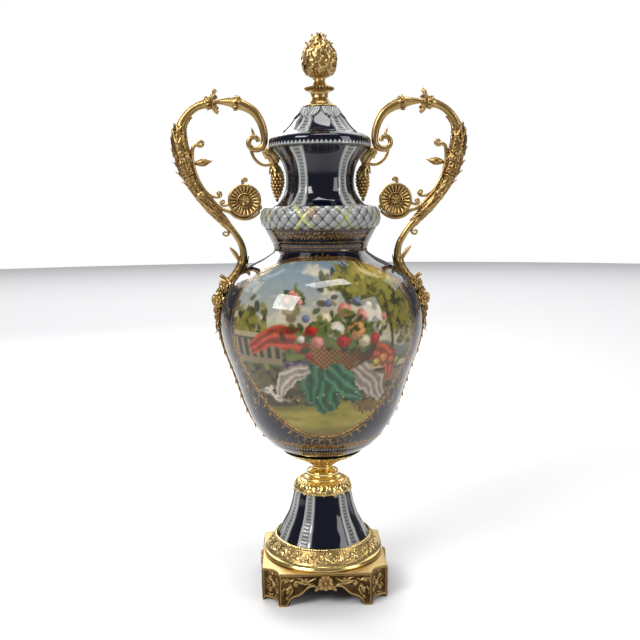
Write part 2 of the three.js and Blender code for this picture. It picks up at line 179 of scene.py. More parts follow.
def swept(path, width, depth=None, relief=0.0, sides=12, facing=(0, 1, 0), cup=0.0):
    """Closed bar along a path. At angle a its section stands at side * width * cos a +
    face * depth * sin a, grown by the relief, and bowed by cup * cos^2 a along the face. Both
    ends close on the path."""
    path = np.asarray(path, float)
    rows = len(path)
    width = np.broadcast_to(width, (rows,)).astype(float)
    depth = width if depth is None else np.broadcast_to(depth, (rows,)).astype(float)
    angle = np.arange(sides) * TAU / sides
    _, side, face = frames(path, facing)
    relief = np.broadcast_to(relief, (rows, sides))
    across = (width[:, None] + relief) * np.cos(angle)
    up = (depth[:, None] + relief) * np.sin(angle)
    up = up + np.broadcast_to(cup, (rows,))[:, None] * np.cos(angle) ** 2
    points = path[:, None] + across[..., None] * side[:, None] + up[..., None] * face[:, None]
    first = np.broadcast_to(path[0], (1, sides, 3))
    last = np.broadcast_to(path[-1], (1, sides, 3))
    return np.concatenate([first, points, last])


def capped(values):
    """Values for a swept surface's rows, with its two end rows added."""
    return np.concatenate([values[:1], values, values[-1:]])


def leaf(path, width, lobes=4, thick=0.9, cup=0.0, facing=(0, 1, 0), vein=0.5, sides=20):
    """Acanthus leaf along a path. Its half width swells and closes as sin(pi s^0.75), cut into
    lobes that widen towards the tip and then break off; veins run out to them in a V."""
    path = np.asarray(path, float)
    s = distance_along(path)
    s = s / s[-1]
    saw = (s * lobes + 0.15) % 1.0
    outline = np.sin(math.pi * np.clip(s, 0, 1) ** 0.75) ** 0.7 * (1 - 0.38 * (1 - saw) ** 1.5)
    half = np.maximum(width * outline, 0.35)
    angle = np.arange(sides) * TAU / sides
    x = np.abs(np.cos(angle))
    upper = np.clip(np.sin(angle), 0, 1)
    ridges = 0.5 + 0.5 * np.cos(TAU * (s[:, None] * lobes - 0.75 * x))
    groove = np.exp(-(np.cos(angle) / 0.13) ** 2)
    relief = vein * upper * ((ridges - 0.5) * np.sin(math.pi * s)[:, None] - 0.9 * groove)
    points = swept(path, half, np.full(len(s), thick), relief, sides, facing, cup)
    # Painted shade and highlight: the lobes' ridges lighter, the midrib groove and the leaf's underside
    # darker.
    shade = capped(0.35 + 0.65 * (0.35 + 0.65 * ridges - groove) * (0.4 + 0.6 * upper))
    return sheet(points, relief=shade)


def blobs(centres, radii, rows=7, columns=10, squash=1.0):
    """Small balls: latitude and longitude over each centre, one sheet a ball."""
    centres = np.asarray(centres, float).reshape(-1, 3)
    radii = np.broadcast_to(radii, (len(centres),))
    up = np.linspace(-math.pi / 2, math.pi / 2, rows)[:, None]
    angle = np.arange(columns) * TAU / columns
    unit = np.stack([np.cos(up) * np.sin(angle), -np.cos(up) * np.cos(angle),
                     squash * np.sin(up) + 0 * angle], -1)
    balls = centres[:, None, None] + radii[:, None, None, None] * unit
    # Painted light from above: each ball is lighter on top and darker underneath.
    shade = np.broadcast_to(0.35 + 0.65 * (0.5 + 0.5 * np.sin(up)), unit.shape[:2])
    return [sheet(ball, relief=shade) for ball in balls]


def aimed(points, place, direction, roll=0.0):
    """Points made about +Z, rolled about it, turned to `direction` and moved to `place`."""
    z = np.asarray(direction, float)
    z = z / np.linalg.norm(z)
    helper = np.array([0, 0, 1.0]) if abs(z[2]) < 0.9 else np.array([1.0, 0, 0])
    x = np.cross(helper, z)
    x /= np.linalg.norm(x)
    y = np.cross(z, x)
    c, s = math.cos(math.radians(roll)), math.sin(math.radians(roll))
    basis = np.stack([c * x + s * y, c * y - s * x, z])
    return points @ basis + np.asarray(place, float)


def sheet(points, wrap_rows=False, **values):
    """A grid of points (rows, columns, 3) that always closes round its columns, with named
    values on its points."""
    return {"points": points, "wrap_rows": wrap_rows, "values": values}


def mirrored(sheets):
    """The same sheets on the -X side, with their columns reversed so that they still face out."""
    return [{"points": s["points"][:, ::-1] * (-1, 1, 1), "wrap_rows": s["wrap_rows"],
             "values": {name: value[:, ::-1] for name, value in s["values"].items()}}
            for s in sheets]


def quads(rows, columns, wrap_rows, start):
    """Corner numbers of the quads of a grid whose columns close round."""
    row = np.arange(rows if wrap_rows else rows - 1)[:, None]
    column = np.arange(columns)[None, :]
    up, on = (row + 1) % rows * columns, (column + 1) % columns
    corners = [row * columns + column, row * columns + on, up + on, up + column]
    return start + np.stack(np.broadcast_arrays(*corners), -1).reshape(-1, 4)


def piece(name, sheets, material, node, sharp=50):
    """One closed mesh from the sheets, riding on the root and standing for its node. Points that
    fall together at a pole or a seam are merged."""
    points = np.concatenate([s["points"].reshape(-1, 3) for s in sheets]) * MM
    faces = []
    start = 0
    for s in sheets:
        rows, columns = s["points"].shape[:2]
        faces.append(quads(rows, columns, s["wrap_rows"], start))
        start += rows * columns
    faces = np.concatenate(faces)
    mesh = bpy.data.meshes.new(name)
    mesh.vertices.add(len(points))
    mesh.vertices.foreach_set("co", points.astype(np.float32).ravel())
    mesh.loops.add(faces.size)
    mesh.loops.foreach_set("vertex_index", faces.astype(np.int32).ravel())
    mesh.polygons.add(len(faces))
    mesh.polygons.foreach_set("loop_start", np.arange(0, faces.size, 4, dtype=np.int32))
    mesh.polygons.foreach_set("loop_total", np.full(len(faces), 4, dtype=np.int32))
    mesh.update(calc_edges=True)
    for key in sheets[0]["values"]:
        joined = np.concatenate([np.broadcast_to(s["values"][key], (*s["points"].shape[:2], *np.shape(
            s["values"][key])[2:])).reshape(s["points"].shape[0] * s["points"].shape[1], -1)
            for s in sheets]).astype(np.float32)
        if joined.shape[1] == 3:
            layer = mesh.attributes.new(key, "FLOAT_COLOR", "POINT")
            joined = np.concatenate([joined, np.ones((len(joined), 1), np.float32)], 1)
            layer.data.foreach_set("color", joined.ravel())
        else:
            layer = mesh.attributes.new(key, "FLOAT", "POINT")
            layer.data.foreach_set("value", joined.ravel())
    welded = bmesh.new()
    welded.from_mesh(mesh)
    bmesh.ops.remove_doubles(welded, verts=welded.verts, dist=1e-7)
    welded.to_mesh(mesh)
    welded.free()
    mesh.polygons.foreach_set("use_smooth", np.ones(len(mesh.polygons), dtype=bool))
    mesh.set_sharp_from_angle(angle=math.radians(sharp))
    mesh.materials.append(material)
    obj = bpy.data.objects.new(name, mesh)
    bpy.context.scene.collection.objects.link(obj)
    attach(obj, "root")
    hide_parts(node)
    return obj


# ---------- finishes ----------

def add(tree, kind, inputs=None, **settings):
    """A node with its settings; each input takes a plain value or a link from another socket."""
    node = tree.nodes.new(kind)
    for key, value in settings.items():
        setattr(node, key, value)
    for key, value in (inputs or {}).items():
        if isinstance(value, bpy.types.NodeSocket):
            tree.links.new(value, node.inputs[key])
        else:
            node.inputs[key].default_value = value
    return node


def new_group(name, inputs, outputs):
    """An empty node group with its sockets, ready for its nodes."""
    group = bpy.data.node_groups.new(name, "ShaderNodeTree")
    for socket, kind, value in inputs:
        made = group.interface.new_socket(name=socket, in_out="INPUT", socket_type=kind)
        made.default_value = value
    for socket, kind in outputs:
        group.interface.new_socket(name=socket, in_out="OUTPUT", socket_type=kind)
    return group, group.nodes.new("NodeGroupInput").outputs, group.nodes.new("NodeGroupOutput")


def ease(tree, value, low, high, to_low=0.0, to_high=1.0):
    """A value eased from one range to another."""
    node = add(tree, "ShaderNodeMapRange", {"Value": value, "From Min": low, "From Max": high,
                                            "To Min": to_low, "To Max": to_high},
               interpolation_type="SMOOTHSTEP")
    return node.outputs[0]


def mixed(tree, share, first, second):
    """Two colours mixed by a share."""
    node = add(tree, "ShaderNodeMix", {0: share, 6: first, 7: second}, data_type="RGBA")
    return node.outputs[2]


def math_node(tree, operation, first, second):
    """Adds a math node to the tree and gives its output."""
    return add(tree, "ShaderNodeMath", {0: first, 1: second}, operation=operation).outputs[0]


def patina_and_shade_group():
    """Old gilding by the relief level: dark in the hollows and bright on the high parts, partly as tarnish
    and wear and partly as painted shade and painted highlight; clouded and finely pitted.
    """
    group, inputs, result = new_group(
        "patina_and_shade",
        [("Relief", "NodeSocketFloat", 0.5), ("Bright", "NodeSocketColor", (1, 1, 1, 1)),
         ("Middle", "NodeSocketColor", (1, 1, 1, 1)), ("Dark", "NodeSocketColor", (0, 0, 0, 1)),
         ("Polish", "NodeSocketFloat", 0.3), ("Clouding", "NodeSocketFloat", 0.3)],
        [("Color", "NodeSocketColor"), ("Roughness", "NodeSocketFloat"),
         ("Height", "NodeSocketFloat")])
    where = add(group, "ShaderNodeTexCoord").outputs["Object"]
    clouds = add(group, "ShaderNodeTexNoise", {"Vector": where, "Scale": 55, "Detail": 4}).outputs[0]
    pits = add(group, "ShaderNodeTexNoise", {"Vector": where, "Scale": 900, "Detail": 3}).outputs[0]
    shift = math_node(group, "MULTIPLY", math_node(group, "SUBTRACT", clouds, 0.5), inputs["Clouding"])
    level = math_node(group, "ADD", inputs["Relief"], shift)
    # Low levels are painted dark and high ones bright: painted shade and highlight along with tarnish and
    # wear.
    lower = mixed(group, ease(group, level, 0.05, 0.5), inputs["Dark"], inputs["Middle"])
    whole = mixed(group, ease(group, level, 0.5, 1.0), lower, inputs["Bright"])
    dulled = ease(group, level, 0.0, 0.8, 0.28, 0.0)
    roughness = math_node(group, "ADD", inputs["Polish"], dulled)
    roughness = math_node(group, "ADD", roughness, ease(group, pits, 0.3, 0.8, -0.04, 0.08))
    group.links.new(whole, result.inputs["Color"])
    group.links.new(roughness, result.inputs["Roughness"])
    group.links.new(math_node(group, "ADD", pits, math_node(group, "MULTIPLY", clouds, 0.6)),
                    result.inputs["Height"])
    return group


def glaze_group():
    """Painted glaze: the painted tint, gold where it is gilded, with faint pinholes and a gentle
    unevenness in its gloss."""
    group, inputs, result = new_group(
        "glaze",
        [("Tint", "NodeSocketColor", (1, 1, 1, 1)), ("Gilding", "NodeSocketFloat", 0.0),
         ("Gold", "NodeSocketColor", (1, 0.7, 0.2, 1)), ("Gloss", "NodeSocketFloat", 0.06)],
        [("Color", "NodeSocketColor"), ("Metallic", "NodeSocketFloat"),
         ("Roughness", "NodeSocketFloat"), ("Height", "NodeSocketFloat")])
    where = add(group, "ShaderNodeTexCoord").outputs["Object"]
    waves = add(group, "ShaderNodeTexNoise", {"Vector": where, "Scale": 24, "Detail": 2}).outputs[0]
    worn = add(group, "ShaderNodeTexNoise", {"Vector": where, "Scale": 260, "Detail": 3}).outputs[0]
    pinholes = add(group, "ShaderNodeTexVoronoi", {"Vector": where, "Scale": 420}).outputs["Distance"]
    gold = mixed(group, ease(group, worn, 0.35, 0.6), inputs["Gold"], (0.16, 0.085, 0.03, 1))
    gilding = math_node(group, "MULTIPLY", inputs["Gilding"], ease(group, worn, 0.25, 0.4, 0.55, 1.0))
    group.links.new(mixed(group, gilding, inputs["Tint"], gold), result.inputs["Color"])
    group.links.new(math_node(group, "MULTIPLY", gilding, 0.85), result.inputs["Metallic"])
    gloss = math_node(group, "ADD", inputs["Gloss"], math_node(group, "MULTIPLY", gilding, 0.22))
    group.links.new(math_node(group, "ADD", gloss, ease(group, waves, 0.3, 0.7, 0.0, 0.04)),
                    result.inputs["Roughness"])
    height = math_node(group, "MULTIPLY", ease(group, pinholes, 0.0, 0.08), 0.25)
    group.links.new(math_node(group, "ADD", height, waves), result.inputs["Height"])
    return group


def finish_shader(name):
    """A new material with its Principled shader."""
    material = bpy.data.materials.new(name)
    material.use_nodes = True
    return material, material.node_tree, material.node_tree.nodes["Principled BSDF"]


def group_node(tree, name, inputs):
    """Adds a node that uses one of the node groups."""
    node = tree.nodes.new("ShaderNodeGroup")
    node.node_tree = bpy.data.node_groups[name]
    for key, value in inputs.items():
        if isinstance(value, bpy.types.NodeSocket):
            tree.links.new(value, node.inputs[key])
        else:
            node.inputs[key].default_value = value
    return node.outputs


def attribute(tree, name, output="Fac"):
    """What a mesh attribute of this name holds, as a node output."""
    return add(tree, "ShaderNodeAttribute", attribute_name=name).outputs[output]


def gilt_finish(name, bright, middle, dark, polish, clouding):
    """Gilt bronze from the patina group, with a fine grain."""
    material, tree, shader = finish_shader(name)
    # The relief attribute carries painted shade in hollows, grooves and under parts and painted highlight on
    # high parts and tops, along with tarnish and wear.
    made = group_node(tree, "patina_and_shade", {"Relief": attribute(tree, "relief"), "Bright": (*bright, 1),
                                       "Middle": (*middle, 1), "Dark": (*dark, 1),
                                       "Polish": polish, "Clouding": clouding})
    shader.inputs["Metallic"].default_value = 1.0
    tree.links.new(made["Color"], shader.inputs["Base Color"])
    tree.links.new(made["Roughness"], shader.inputs["Roughness"])
    bump = add(tree, "ShaderNodeBump", {"Height": made["Height"], "Strength": 0.35, "Distance": 0.0004})
    tree.links.new(bump.outputs[0], shader.inputs["Normal"])
    return material


def glaze_finish(name, gold, gloss):
    """Painted and gilded porcelain from the glaze group, under a clear coat."""
    material, tree, shader = finish_shader(name)
    made = group_node(tree, "glaze", {"Tint": attribute(tree, "tint", "Color"),
                                      "Gilding": attribute(tree, "gilding"),
                                      "Gold": (*gold, 1), "Gloss": gloss})
    tree.links.new(made["Color"], shader.inputs["Base Color"])
    tree.links.new(made["Metallic"], shader.inputs["Metallic"])
    tree.links.new(made["Roughness"], shader.inputs["Roughness"])
    shader.inputs["Coat Weight"].default_value = 0.15
    shader.inputs["Coat Roughness"].default_value = 0.03
    bump = add(tree, "ShaderNodeBump", {"Height": made["Height"], "Strength": 0.25, "Distance": 0.0006})
    tree.links.new(bump.outputs[0], shader.inputs["Normal"])
    return material


def settings():
    """The add-on's settings on the open scene."""
    return bpy.context.scene.urn_settings


def finish(name):
    """The named finish, made from the settings the first time it is asked for."""
    if name in bpy.data.materials:
        return bpy.data.materials[name]
    if "patina_and_shade" not in bpy.data.node_groups:
        patina_and_shade_group()
        glaze_group()
    chosen = settings()
    bright, middle, dark = chosen.gilt_bright[:], chosen.gilt_middle[:], chosen.gilt_dark[:]
    if name == "antique_gilt":
        return gilt_finish(name, bright, middle, dark, 0.3, 0.5)
    if name == "bright_gilt":
        return gilt_finish(name, chosen.polished_gilt[:], bright, middle, 0.16, 0.2)
    if name == "plinth_gilt":
        return gilt_finish(name, bright, middle, dark, 0.34, 0.25)
    if name == "painted_glaze":
        return glaze_finish(name, chosen.gilding[:], 0.05)
    raise ValueError(f"there is no finish named {name}")


def blended(base, colour, share):
    """Paints a colour over a field of colours by a share at each point."""
    share = np.asarray(share)[..., None]
    return base * (1 - share) + np.asarray(colour, float) * share


# ---------- drawn ornament ----------

def stroke(points, thick, taper=0.75, step=1.0):
    """A brush stroke: points through the plane and the brush's radius at each, full near the
    start and thinning to its end."""
    line = through(points, step)
    share = np.linspace(0, 1, len(line))
    radius = thick * np.minimum(1, 0.35 + 6 * share) * (1 - taper * share ** 1.5)
    return np.column_stack([line, radius])


def curl(centre, radius, start, turns, thick, lead=()):
    """A stroke that runs in along the lead points and winds into a spiral with a round eye."""
    coil = spiral(centre, radius, start, turns, 0.72)
    line = chain(np.vstack([np.reshape(lead, (-1, 2)), coil]), 0.8)
    share = np.linspace(0, 1, len(line))
    size = thick * (0.45 + 0.55 * np.sin(math.pi * np.clip(share, 0, 0.75) / 0.75))
    size[-3:] = thick * 1.1
    return np.column_stack([line, size])


def spray_of_leaves(place, heading, count, length, thick, spread=110):
    """Short tapered strokes that fan out from a place, like an open palmette."""
    made = []
    for k in range(count):
        share = k / max(count - 1, 1) - 0.5
        angle = math.radians(heading + spread * share)
        reach = length * (1 - 0.9 * share ** 2)
        tip = np.add(place, (reach * math.cos(angle), reach * math.sin(angle)))
        bow = np.add(place, (0.55 * reach * math.cos(angle + 0.3 * share),
                             0.55 * reach * math.sin(angle + 0.3 * share)))
        made.append(stroke([place, bow, tip], thick, 0.9))
    return made


def flipped(strokes):
    """The strokes and their mirror images about x = 0."""
    return strokes + [s * (-1, 1, 1) for s in strokes]


def drawn(x, y, strokes, soft=None):
    """How high the strokes stand at each point (x, y): over a stroke's nearest brush disc of
    radius b at distance d it is sqrt(1 - d^2 / b^2). With `soft` it is instead 1 inside the
    stroke and fades to 0 over that width at its edge."""
    shape = np.shape(x)
    x, y = np.ravel(x), np.ravel(y)
    height = np.zeros(len(x), np.float32)
    for line in strokes:
        reach = line[:, 2].max() + (soft or 0)
        low, high = line[:, :2].min(0) - reach, line[:, :2].max(0) + reach
        near = np.flatnonzero((x > low[0]) & (x < high[0]) & (y > low[1]) & (y < high[1]))
        if len(near) == 0:
            continue
        away = np.hypot(x[near, None] - line[:, 0], y[near, None] - line[:, 1])
        if soft:
            value = smoothstep(soft, -soft, away - line[:, 2]).max(1)
        else:
            value = np.sqrt(np.clip(1 - (away / line[:, 2]) ** 2, 0, 1)).max(1)
        height[near] = np.maximum(height[near], value)
    return height.reshape(shape)


def tiled(x, period):
    """Coordinate within a repeat, from minus half to plus half a period."""
    return (x + period / 2) % period - period / 2


# ---------- plinth and leaf band ----------

PLINTH_HALF = 101.0
CORNER_RADIUS = 27.0
PLINTH_WALL = 5.0
STRAIGHT_STEPS, CORNER_STEPS = 66, 38


def plinth_plan(inset):
    """Plan of the plinth moved in by the inset: half a side, a hollow quarter-round corner and
    the next half side, turned through the four quarters."""
    radius = CORNER_RADIUS + inset
    reach = math.sqrt(radius ** 2 - inset ** 2)
    edge, join = PLINTH_HALF - inset, PLINTH_HALF - reach
    swing = math.asin(inset / radius)
    along = np.linspace(0, join, STRAIGHT_STEPS)
    angle = np.linspace(math.pi - swing, math.pi / 2 + swing, CORNER_STEPS)
    first = np.stack([along, np.full(STRAIGHT_STEPS, -edge)], 1)
    corner = np.stack([PLINTH_HALF + radius * np.cos(angle), -PLINTH_HALF + radius * np.sin(angle)], 1)
    last = np.stack([np.full(STRAIGHT_STEPS, edge), -along[::-1]], 1)[:-1]
    quarter = np.vstack([first, corner, last])
    turns = [np.array([[math.cos(a), math.sin(a)], [-math.sin(a), math.cos(a)]])
             for a in np.arange(4) * math.pi / 2]
    return np.vstack([quarter @ turn for turn in turns])


def plinth_columns():
    """For each column of the plinth: its place along its face from the face's middle, its place
    along its corner from the corner's middle, and whether it is in a corner."""
    along = np.linspace(0, PLINTH_HALF - CORNER_RADIUS, STRAIGHT_STEPS)
    around = np.linspace(-0.5, 0.5, CORNER_STEPS) * CORNER_RADIUS * math.pi / 2
    face = np.concatenate([along, np.full(CORNER_STEPS, 200.0), -along[::-1][:-1]])
    corner = np.concatenate([np.full(STRAIGHT_STEPS, 200.0), around, np.full(STRAIGHT_STEPS - 1, 200.0)])
    return np.tile(face, 4), np.tile(corner, 4)


def apron_edge(face, corner):
    """Height of the apron's lower edge: level under the rosette, a peak beside it, down in two
    sweeps to the foot, and a little up again inside the hollow corners."""
    sweep_at = [0, 8, 12.8, 18.3, 24.8, 30.5, 36.1, 41.7, 49.2, 54.8, 59.5, 61.5, 62.5]
    sweep_up = [27, 27, 29.7, 32.4, 31.6, 27.7, 21.8, 17.9, 15.9, 13, 6, 0.6, 0]
    on_face = np.interp(np.abs(face), sweep_at, sweep_up)
    in_corner = 5.0 * smoothstep(21.2, 16.5, np.abs(corner))
    return np.where(np.abs(corner) < 100, in_corner, on_face)


def face_ornament():
    """Raised scrolls on a face of the plinth: a leafy branch each side of the rosette."""
    right = [curl((30, 43.5), 5.2, 200, 1.3, 1.3, [(16, 46)]),
             curl((46, 36), 6.5, 150, -1.4, 1.6, [(21, 37.5), (31, 36.5)]),
             curl((62, 41), 5.4, 170, -1.3, 1.3, [(50, 45)]),
             curl((60, 24), 5.0, 60, 1.2, 1.3, [(55, 33)]),
             stroke([(16, 34), (23, 35.5), (30, 33)], 1.2),
             stroke([(34, 41), (39, 46), (46, 47)], 1.3),
             stroke([(52, 29), (56, 20), (63, 14)], 1.4),
             stroke([(64, 32), (68, 26), (68, 18)], 1.2),
             stroke([(64, 46), (69, 44), (70, 37)], 1.2)]
    right += spray_of_leaves((38, 39), 60, 4, 7, 1.2, 120)
    right += spray_of_leaves((54, 33), -20, 4, 7, 1.2, 130)
    right += spray_of_leaves((61, 12), 100, 3, 6, 1.1, 90)
    return flipped(right)


def corner_ornament():
    """Raised flower scroll that climbs a hollow corner."""
    right = [curl((6.5, 40), 4.6, 250, 1.3, 1.2, [(0, 31)]),
             curl((7, 18), 4.4, 110, -1.3, 1.2, [(0, 26)]),
             stroke([(1, 46), (6, 48), (11, 46)], 1.2),
             stroke([(2, 12), (7, 10), (12, 12)], 1.2),
             stroke([(9, 30), (13, 34), (14, 41)], 1.1),
             stroke([(9, 27), (13, 22), (14, 15)], 1.1)]
    petals = spray_of_leaves((0, 28.5), 90, 8, 5.5, 1.5, 315)
    return flipped(right) + petals


def medal_flower(place, radius, petals, direction=(0, -1, 0), roll=0.0, height=1.0):
    """A round cast flower: radius and height of a disc's points, with a ring of hollowed petals,
    a beaded ring and a domed eye, closed behind."""
    out = np.concatenate([np.linspace(0, 1, 26), [0.97, 0.6, 0.0]])
    level = np.interp(out, [0, 0.18, 0.26, 0.36, 0.42, 0.7, 0.92, 1],
                      [5.2, 4.6, 2.6, 3.7, 2.4, 4.0, 3.6, 0.8])
    level[-3:] = [-1.2, -3, -3]
    angle = round_angles(petals * 8)
    ring = window(0.44, 0.97, 0.05, out)[:, None]
    ring[-3:] = 0
    wave = np.abs(np.cos(petals * angle / 2)) ** 0.6
    beads = window(0.32, 0.41, 0.03, out)[:, None] * (0.5 + 0.5 * np.cos(petals * 2 * angle))
    lift = ring * (1.6 * wave - 0.8) + 0.9 * beads
    lift[-3:] = 0
    edge = 1 - 0.10 * smoothstep(0.5, 1, out)[:, None] * (1 - wave)
    z = (level[:, None] + lift) * height * radius / 13.4
    points = np.stack([radius * out[:, None] * edge * np.sin(angle),
                       -radius * out[:, None] * edge * np.cos(angle), z], -1)
    # Painted highlight on the petal crests, the beads and the eye, with painted shade in the low ground
    # between them.
    shade = np.clip(0.35 + 0.4 * wave * ring + 0.35 * beads + 0.35 * (out < 0.2)[:, None], 0, 1)
    return sheet(aimed(points[::-1], place, direction, roll), relief=shade[::-1])


def shape_plinth():
    """The plinth's plan carried over its top, down its faces to the apron's edge and up inside.
    Scrolls stand out of the faces on a stippled ground, and a lip follows the apron."""
    top = span("foot_ring")[0][2] - 0.3
    face, corner = plinth_columns()
    edge = apron_edge(face, corner)
    outer, inner = plinth_plan(0.0), plinth_plan(PLINTH_WALL)
    crown = plinth_plan(1.4)
    # Levels for the gilt finish: the top is painted bright as lit, the faces' sunken ground dark with the
    # raised scrolls bright, and the inside darkest, as painted light and shade along with tarnish.
    rows, light_and_tarnish = [], []
    for share in (0.0, 0.5, 0.86, 0.95):
        rows.append(np.column_stack([crown * share, np.full(len(face), top)]))
        light_and_tarnish.append(np.full(len(face), 0.95))
    for angle in np.linspace(0, math.pi / 2, 5):
        rows.append(np.column_stack([plinth_plan(1.4 * (1 - math.sin(angle))),
                                     np.full(len(face), top - 1.4 + 1.4 * math.cos(angle))]))
        light_and_tarnish.append(np.full(len(face), 0.9))
    ahead, behind = np.roll(outer, -1, 0), np.roll(outer, 1, 0)
    along = ahead - behind
    normal = np.stack([along[:, 1], -along[:, 0]], 1)
    normal /= np.linalg.norm(normal, axis=1)[:, None]
    steps = 36
    face_lines, corner_lines = face_ornament(), corner_ornament()
    flat_end = PLINTH_HALF - CORNER_RADIUS
    shares = np.linspace(0.02, 1, steps)
    height = (top - 1.4) + shares[:, None] * (edge - top + 1.4)
    on_face = np.broadcast_to(face, height.shape)
    on_corner = np.broadcast_to(corner, height.shape)
    ornament = np.maximum(drawn(on_face, height, face_lines), drawn(on_corner, height, corner_lines))
    above_edge = height - edge
    lip = window(-1, 2.6, 0.5, above_edge)
    frame_line = window(top - 4.2, top - 2.4, 0.4, height)
    side_line = np.where(np.abs(on_face) < 150, window(flat_end - 3.4, flat_end - 1.8, 0.4, np.abs(on_face)),
                         window(18.2, 19.6, 0.4, np.abs(on_corner)))
    border = np.maximum(np.maximum(lip, 0.6 * frame_line), 0.6 * side_line)
    stipple = 0.12 * noise(on_face * 0.9 + on_corner, height * 0.9, 11, 2)
    near_arris = np.minimum(np.abs(np.abs(on_face) - flat_end),
                            np.abs(np.abs(on_corner) - CORNER_RADIUS * math.pi / 4))
    calm = smoothstep(0, 1.5, near_arris)
    lift = calm * (1.7 * ornament * (1 - lip) + 0.9 * border + stipple)
    side = outer + lift[..., None] * normal
    rows += list(np.concatenate([side, height[..., None]], -1))
    light_and_tarnish += list(np.clip(0.16 + 0.75 * np.maximum(ornament, 0.75 * border) + stipple, 0, 1))
    for plan, z in ((plinth_plan(1.5), edge - 0.0), (inner, edge), (inner, edge * 0.5 + (top - 5) * 0.5),
                    (inner, np.full(len(face), top - PLINTH_WALL))):
        rows.append(np.column_stack([plan, z]))
        light_and_tarnish.append(np.full(len(face), 0.1))
    rows.append(np.column_stack([inner * 0.5, np.full(len(face), top - PLINTH_WALL)]))
    rows.append(np.column_stack([inner * 0.0, np.full(len(face), top - PLINTH_WALL)]))
    light_and_tarnish += [np.full(len(face), 0.1)] * 2
    # The rows run from the top's middle outwards and down, so they are turned round to face out.
    sheets = [sheet(np.array(rows)[::-1], relief=np.array(light_and_tarnish)[::-1])]
    for quarter in range(4):
        c, s = math.cos(quarter * math.pi / 2), math.sin(quarter * math.pi / 2)
        turn = np.array([[c, s, 0], [-s, c, 0], [0, 0, 1.0]])
        flower = medal_flower((0, -PLINTH_HALF - 0.5, 39), 13.0, 9, height=0.95)
        sides = [leaf(through([(way * 9, -PLINTH_HALF - 1, 33), (way * 14, -PLINTH_HALF - 3, 29.5),
                               (way * 17, -PLINTH_HALF - 2, 25.5)], 1.0), 3.4, 2, 0.9, 0.5, (0, -1, 0))
                 for way in (-1, 1)]
        for made in [flower] + sides:
            sheets.append(sheet(made["points"] @ turn, relief=made["values"]["relief"]))
    return sheets


def band_ornament(pitch, width):
    """One repeat of the leaf band: two curled branches that cross a standing leaf."""
    lines = [curl((-0.22 * pitch, 0.62 * width), 0.2 * width, 260, 1.3, 1.25, [(-0.5 * pitch, 0.12 * width)]),
             curl((0.24 * pitch, 0.36 * width), 0.19 * width, 100, 1.3, 1.25,
                  [(-0.08 * pitch, 0.86 * width)]),
             stroke([(0.02 * pitch, 0.1 * width), (0.0, 0.4 * width), (0.08 * pitch, 0.75 * width)], 1.5),
             stroke([(0.4 * pitch, 0.88 * width), (0.34 * pitch, 0.7 * width), (0.46 * pitch, 0.55 * width)],
                    1.3),
             stroke([(-0.42 * pitch, 0.5 * width), (-0.36 * pitch, 0.3 * width),
                     (-0.24 * pitch, 0.16 * width)], 1.3)]
    lines += spray_of_leaves((0.1 * pitch, 0.7 * width), 70, 3, 0.26 * width, 1.1, 100)
    lines += spray_of_leaves((-0.1 * pitch, 0.3 * width), 200, 3, 0.24 * width, 1.1, 100)
    lines += spray_of_leaves((0.42 * pitch, 0.2 * width), 20, 3, 0.24 * width, 1.1, 100)
    return [line + (shift, 0, 0) for line in lines for shift in (-pitch, 0, pitch)]


def shape_foot_ring():
    """Turned band: plain stepped fillets, a sloping leafy frieze and a beaded edge round the foot."""
    low, high = span("foot_ring")
    outside, foot, top = high[0], low[2], high[2]
    bore = 66.0
    frieze = [(outside - 6.2, foot + 8.5), (outside - 12.5, foot + 16.5), (outside - 18.3, foot + 27)]
    profile = chain([(bore, foot), (outside - 0.6, foot), (outside, foot + 0.6), (outside, foot + 3.2),
                     (outside - 1.6, foot + 4.2), (outside - 1.6, foot + 5.6), (outside - 4.2, foot + 6.6),
                     *frieze, (outside - 19.6, foot + 28.6), (outside - 20.6, top - 0.4),
                     (outside - 21.6, top - 0.2), (78.4, top - 2.2), (78.2, top - 6), (bore, top - 6)], 1.0,
                    0.7)
    count = 504
    angles = round_angles(count)
    pitch = TAU * 88 / 22
    place = distance_along(profile)
    start = np.argmin(np.hypot(*(profile - frieze[0]).T))
    end = np.argmin(np.hypot(*(profile - frieze[-1]).T))
    up = (place - place[start])[:, None]
    width = place[end] - place[start]
    x = np.broadcast_to(tiled(angles * 88, pitch), (len(profile), count))
    y = np.broadcast_to(up, x.shape)
    inside = window(0.5, width - 0.5, 0.5, y)
    art = drawn(x, y, band_ornament(pitch, width)) * inside
    beads = window(width + 0.6, width + 3.4, 0.4, y) * np.sqrt(np.abs(np.cos(60 * angles)))
    relief = 1.7 * art + 1.0 * beads
    relief[y[:, 0] < 0] = 0
    between_beads = (beads > 0) * (beads < 0.4)
    # Painted shade: the frieze's sunken ground and the gaps between the beads darker, the raised ornament
    # lighter.
    shade = np.clip(np.where(inside > 0.5, 0.2 + 0.75 * art, 0.75) * (1 - 0.5 * between_beads), 0, 1)
    return [sheet(turned(profile, angles, relief), wrap_rows=True, relief=shade)]


# ---------- porcelain ribs ----------

def rib_places(angles, ribs, turn):
    """Signed angle in degrees from each meridian to its nearest rib."""
    degrees = np.degrees(angles)
    away = (degrees[:, None] - (np.array(ribs) + turn) + 180) % 360 - 180
    return away[np.arange(len(angles)), np.abs(away).argmin(1)]


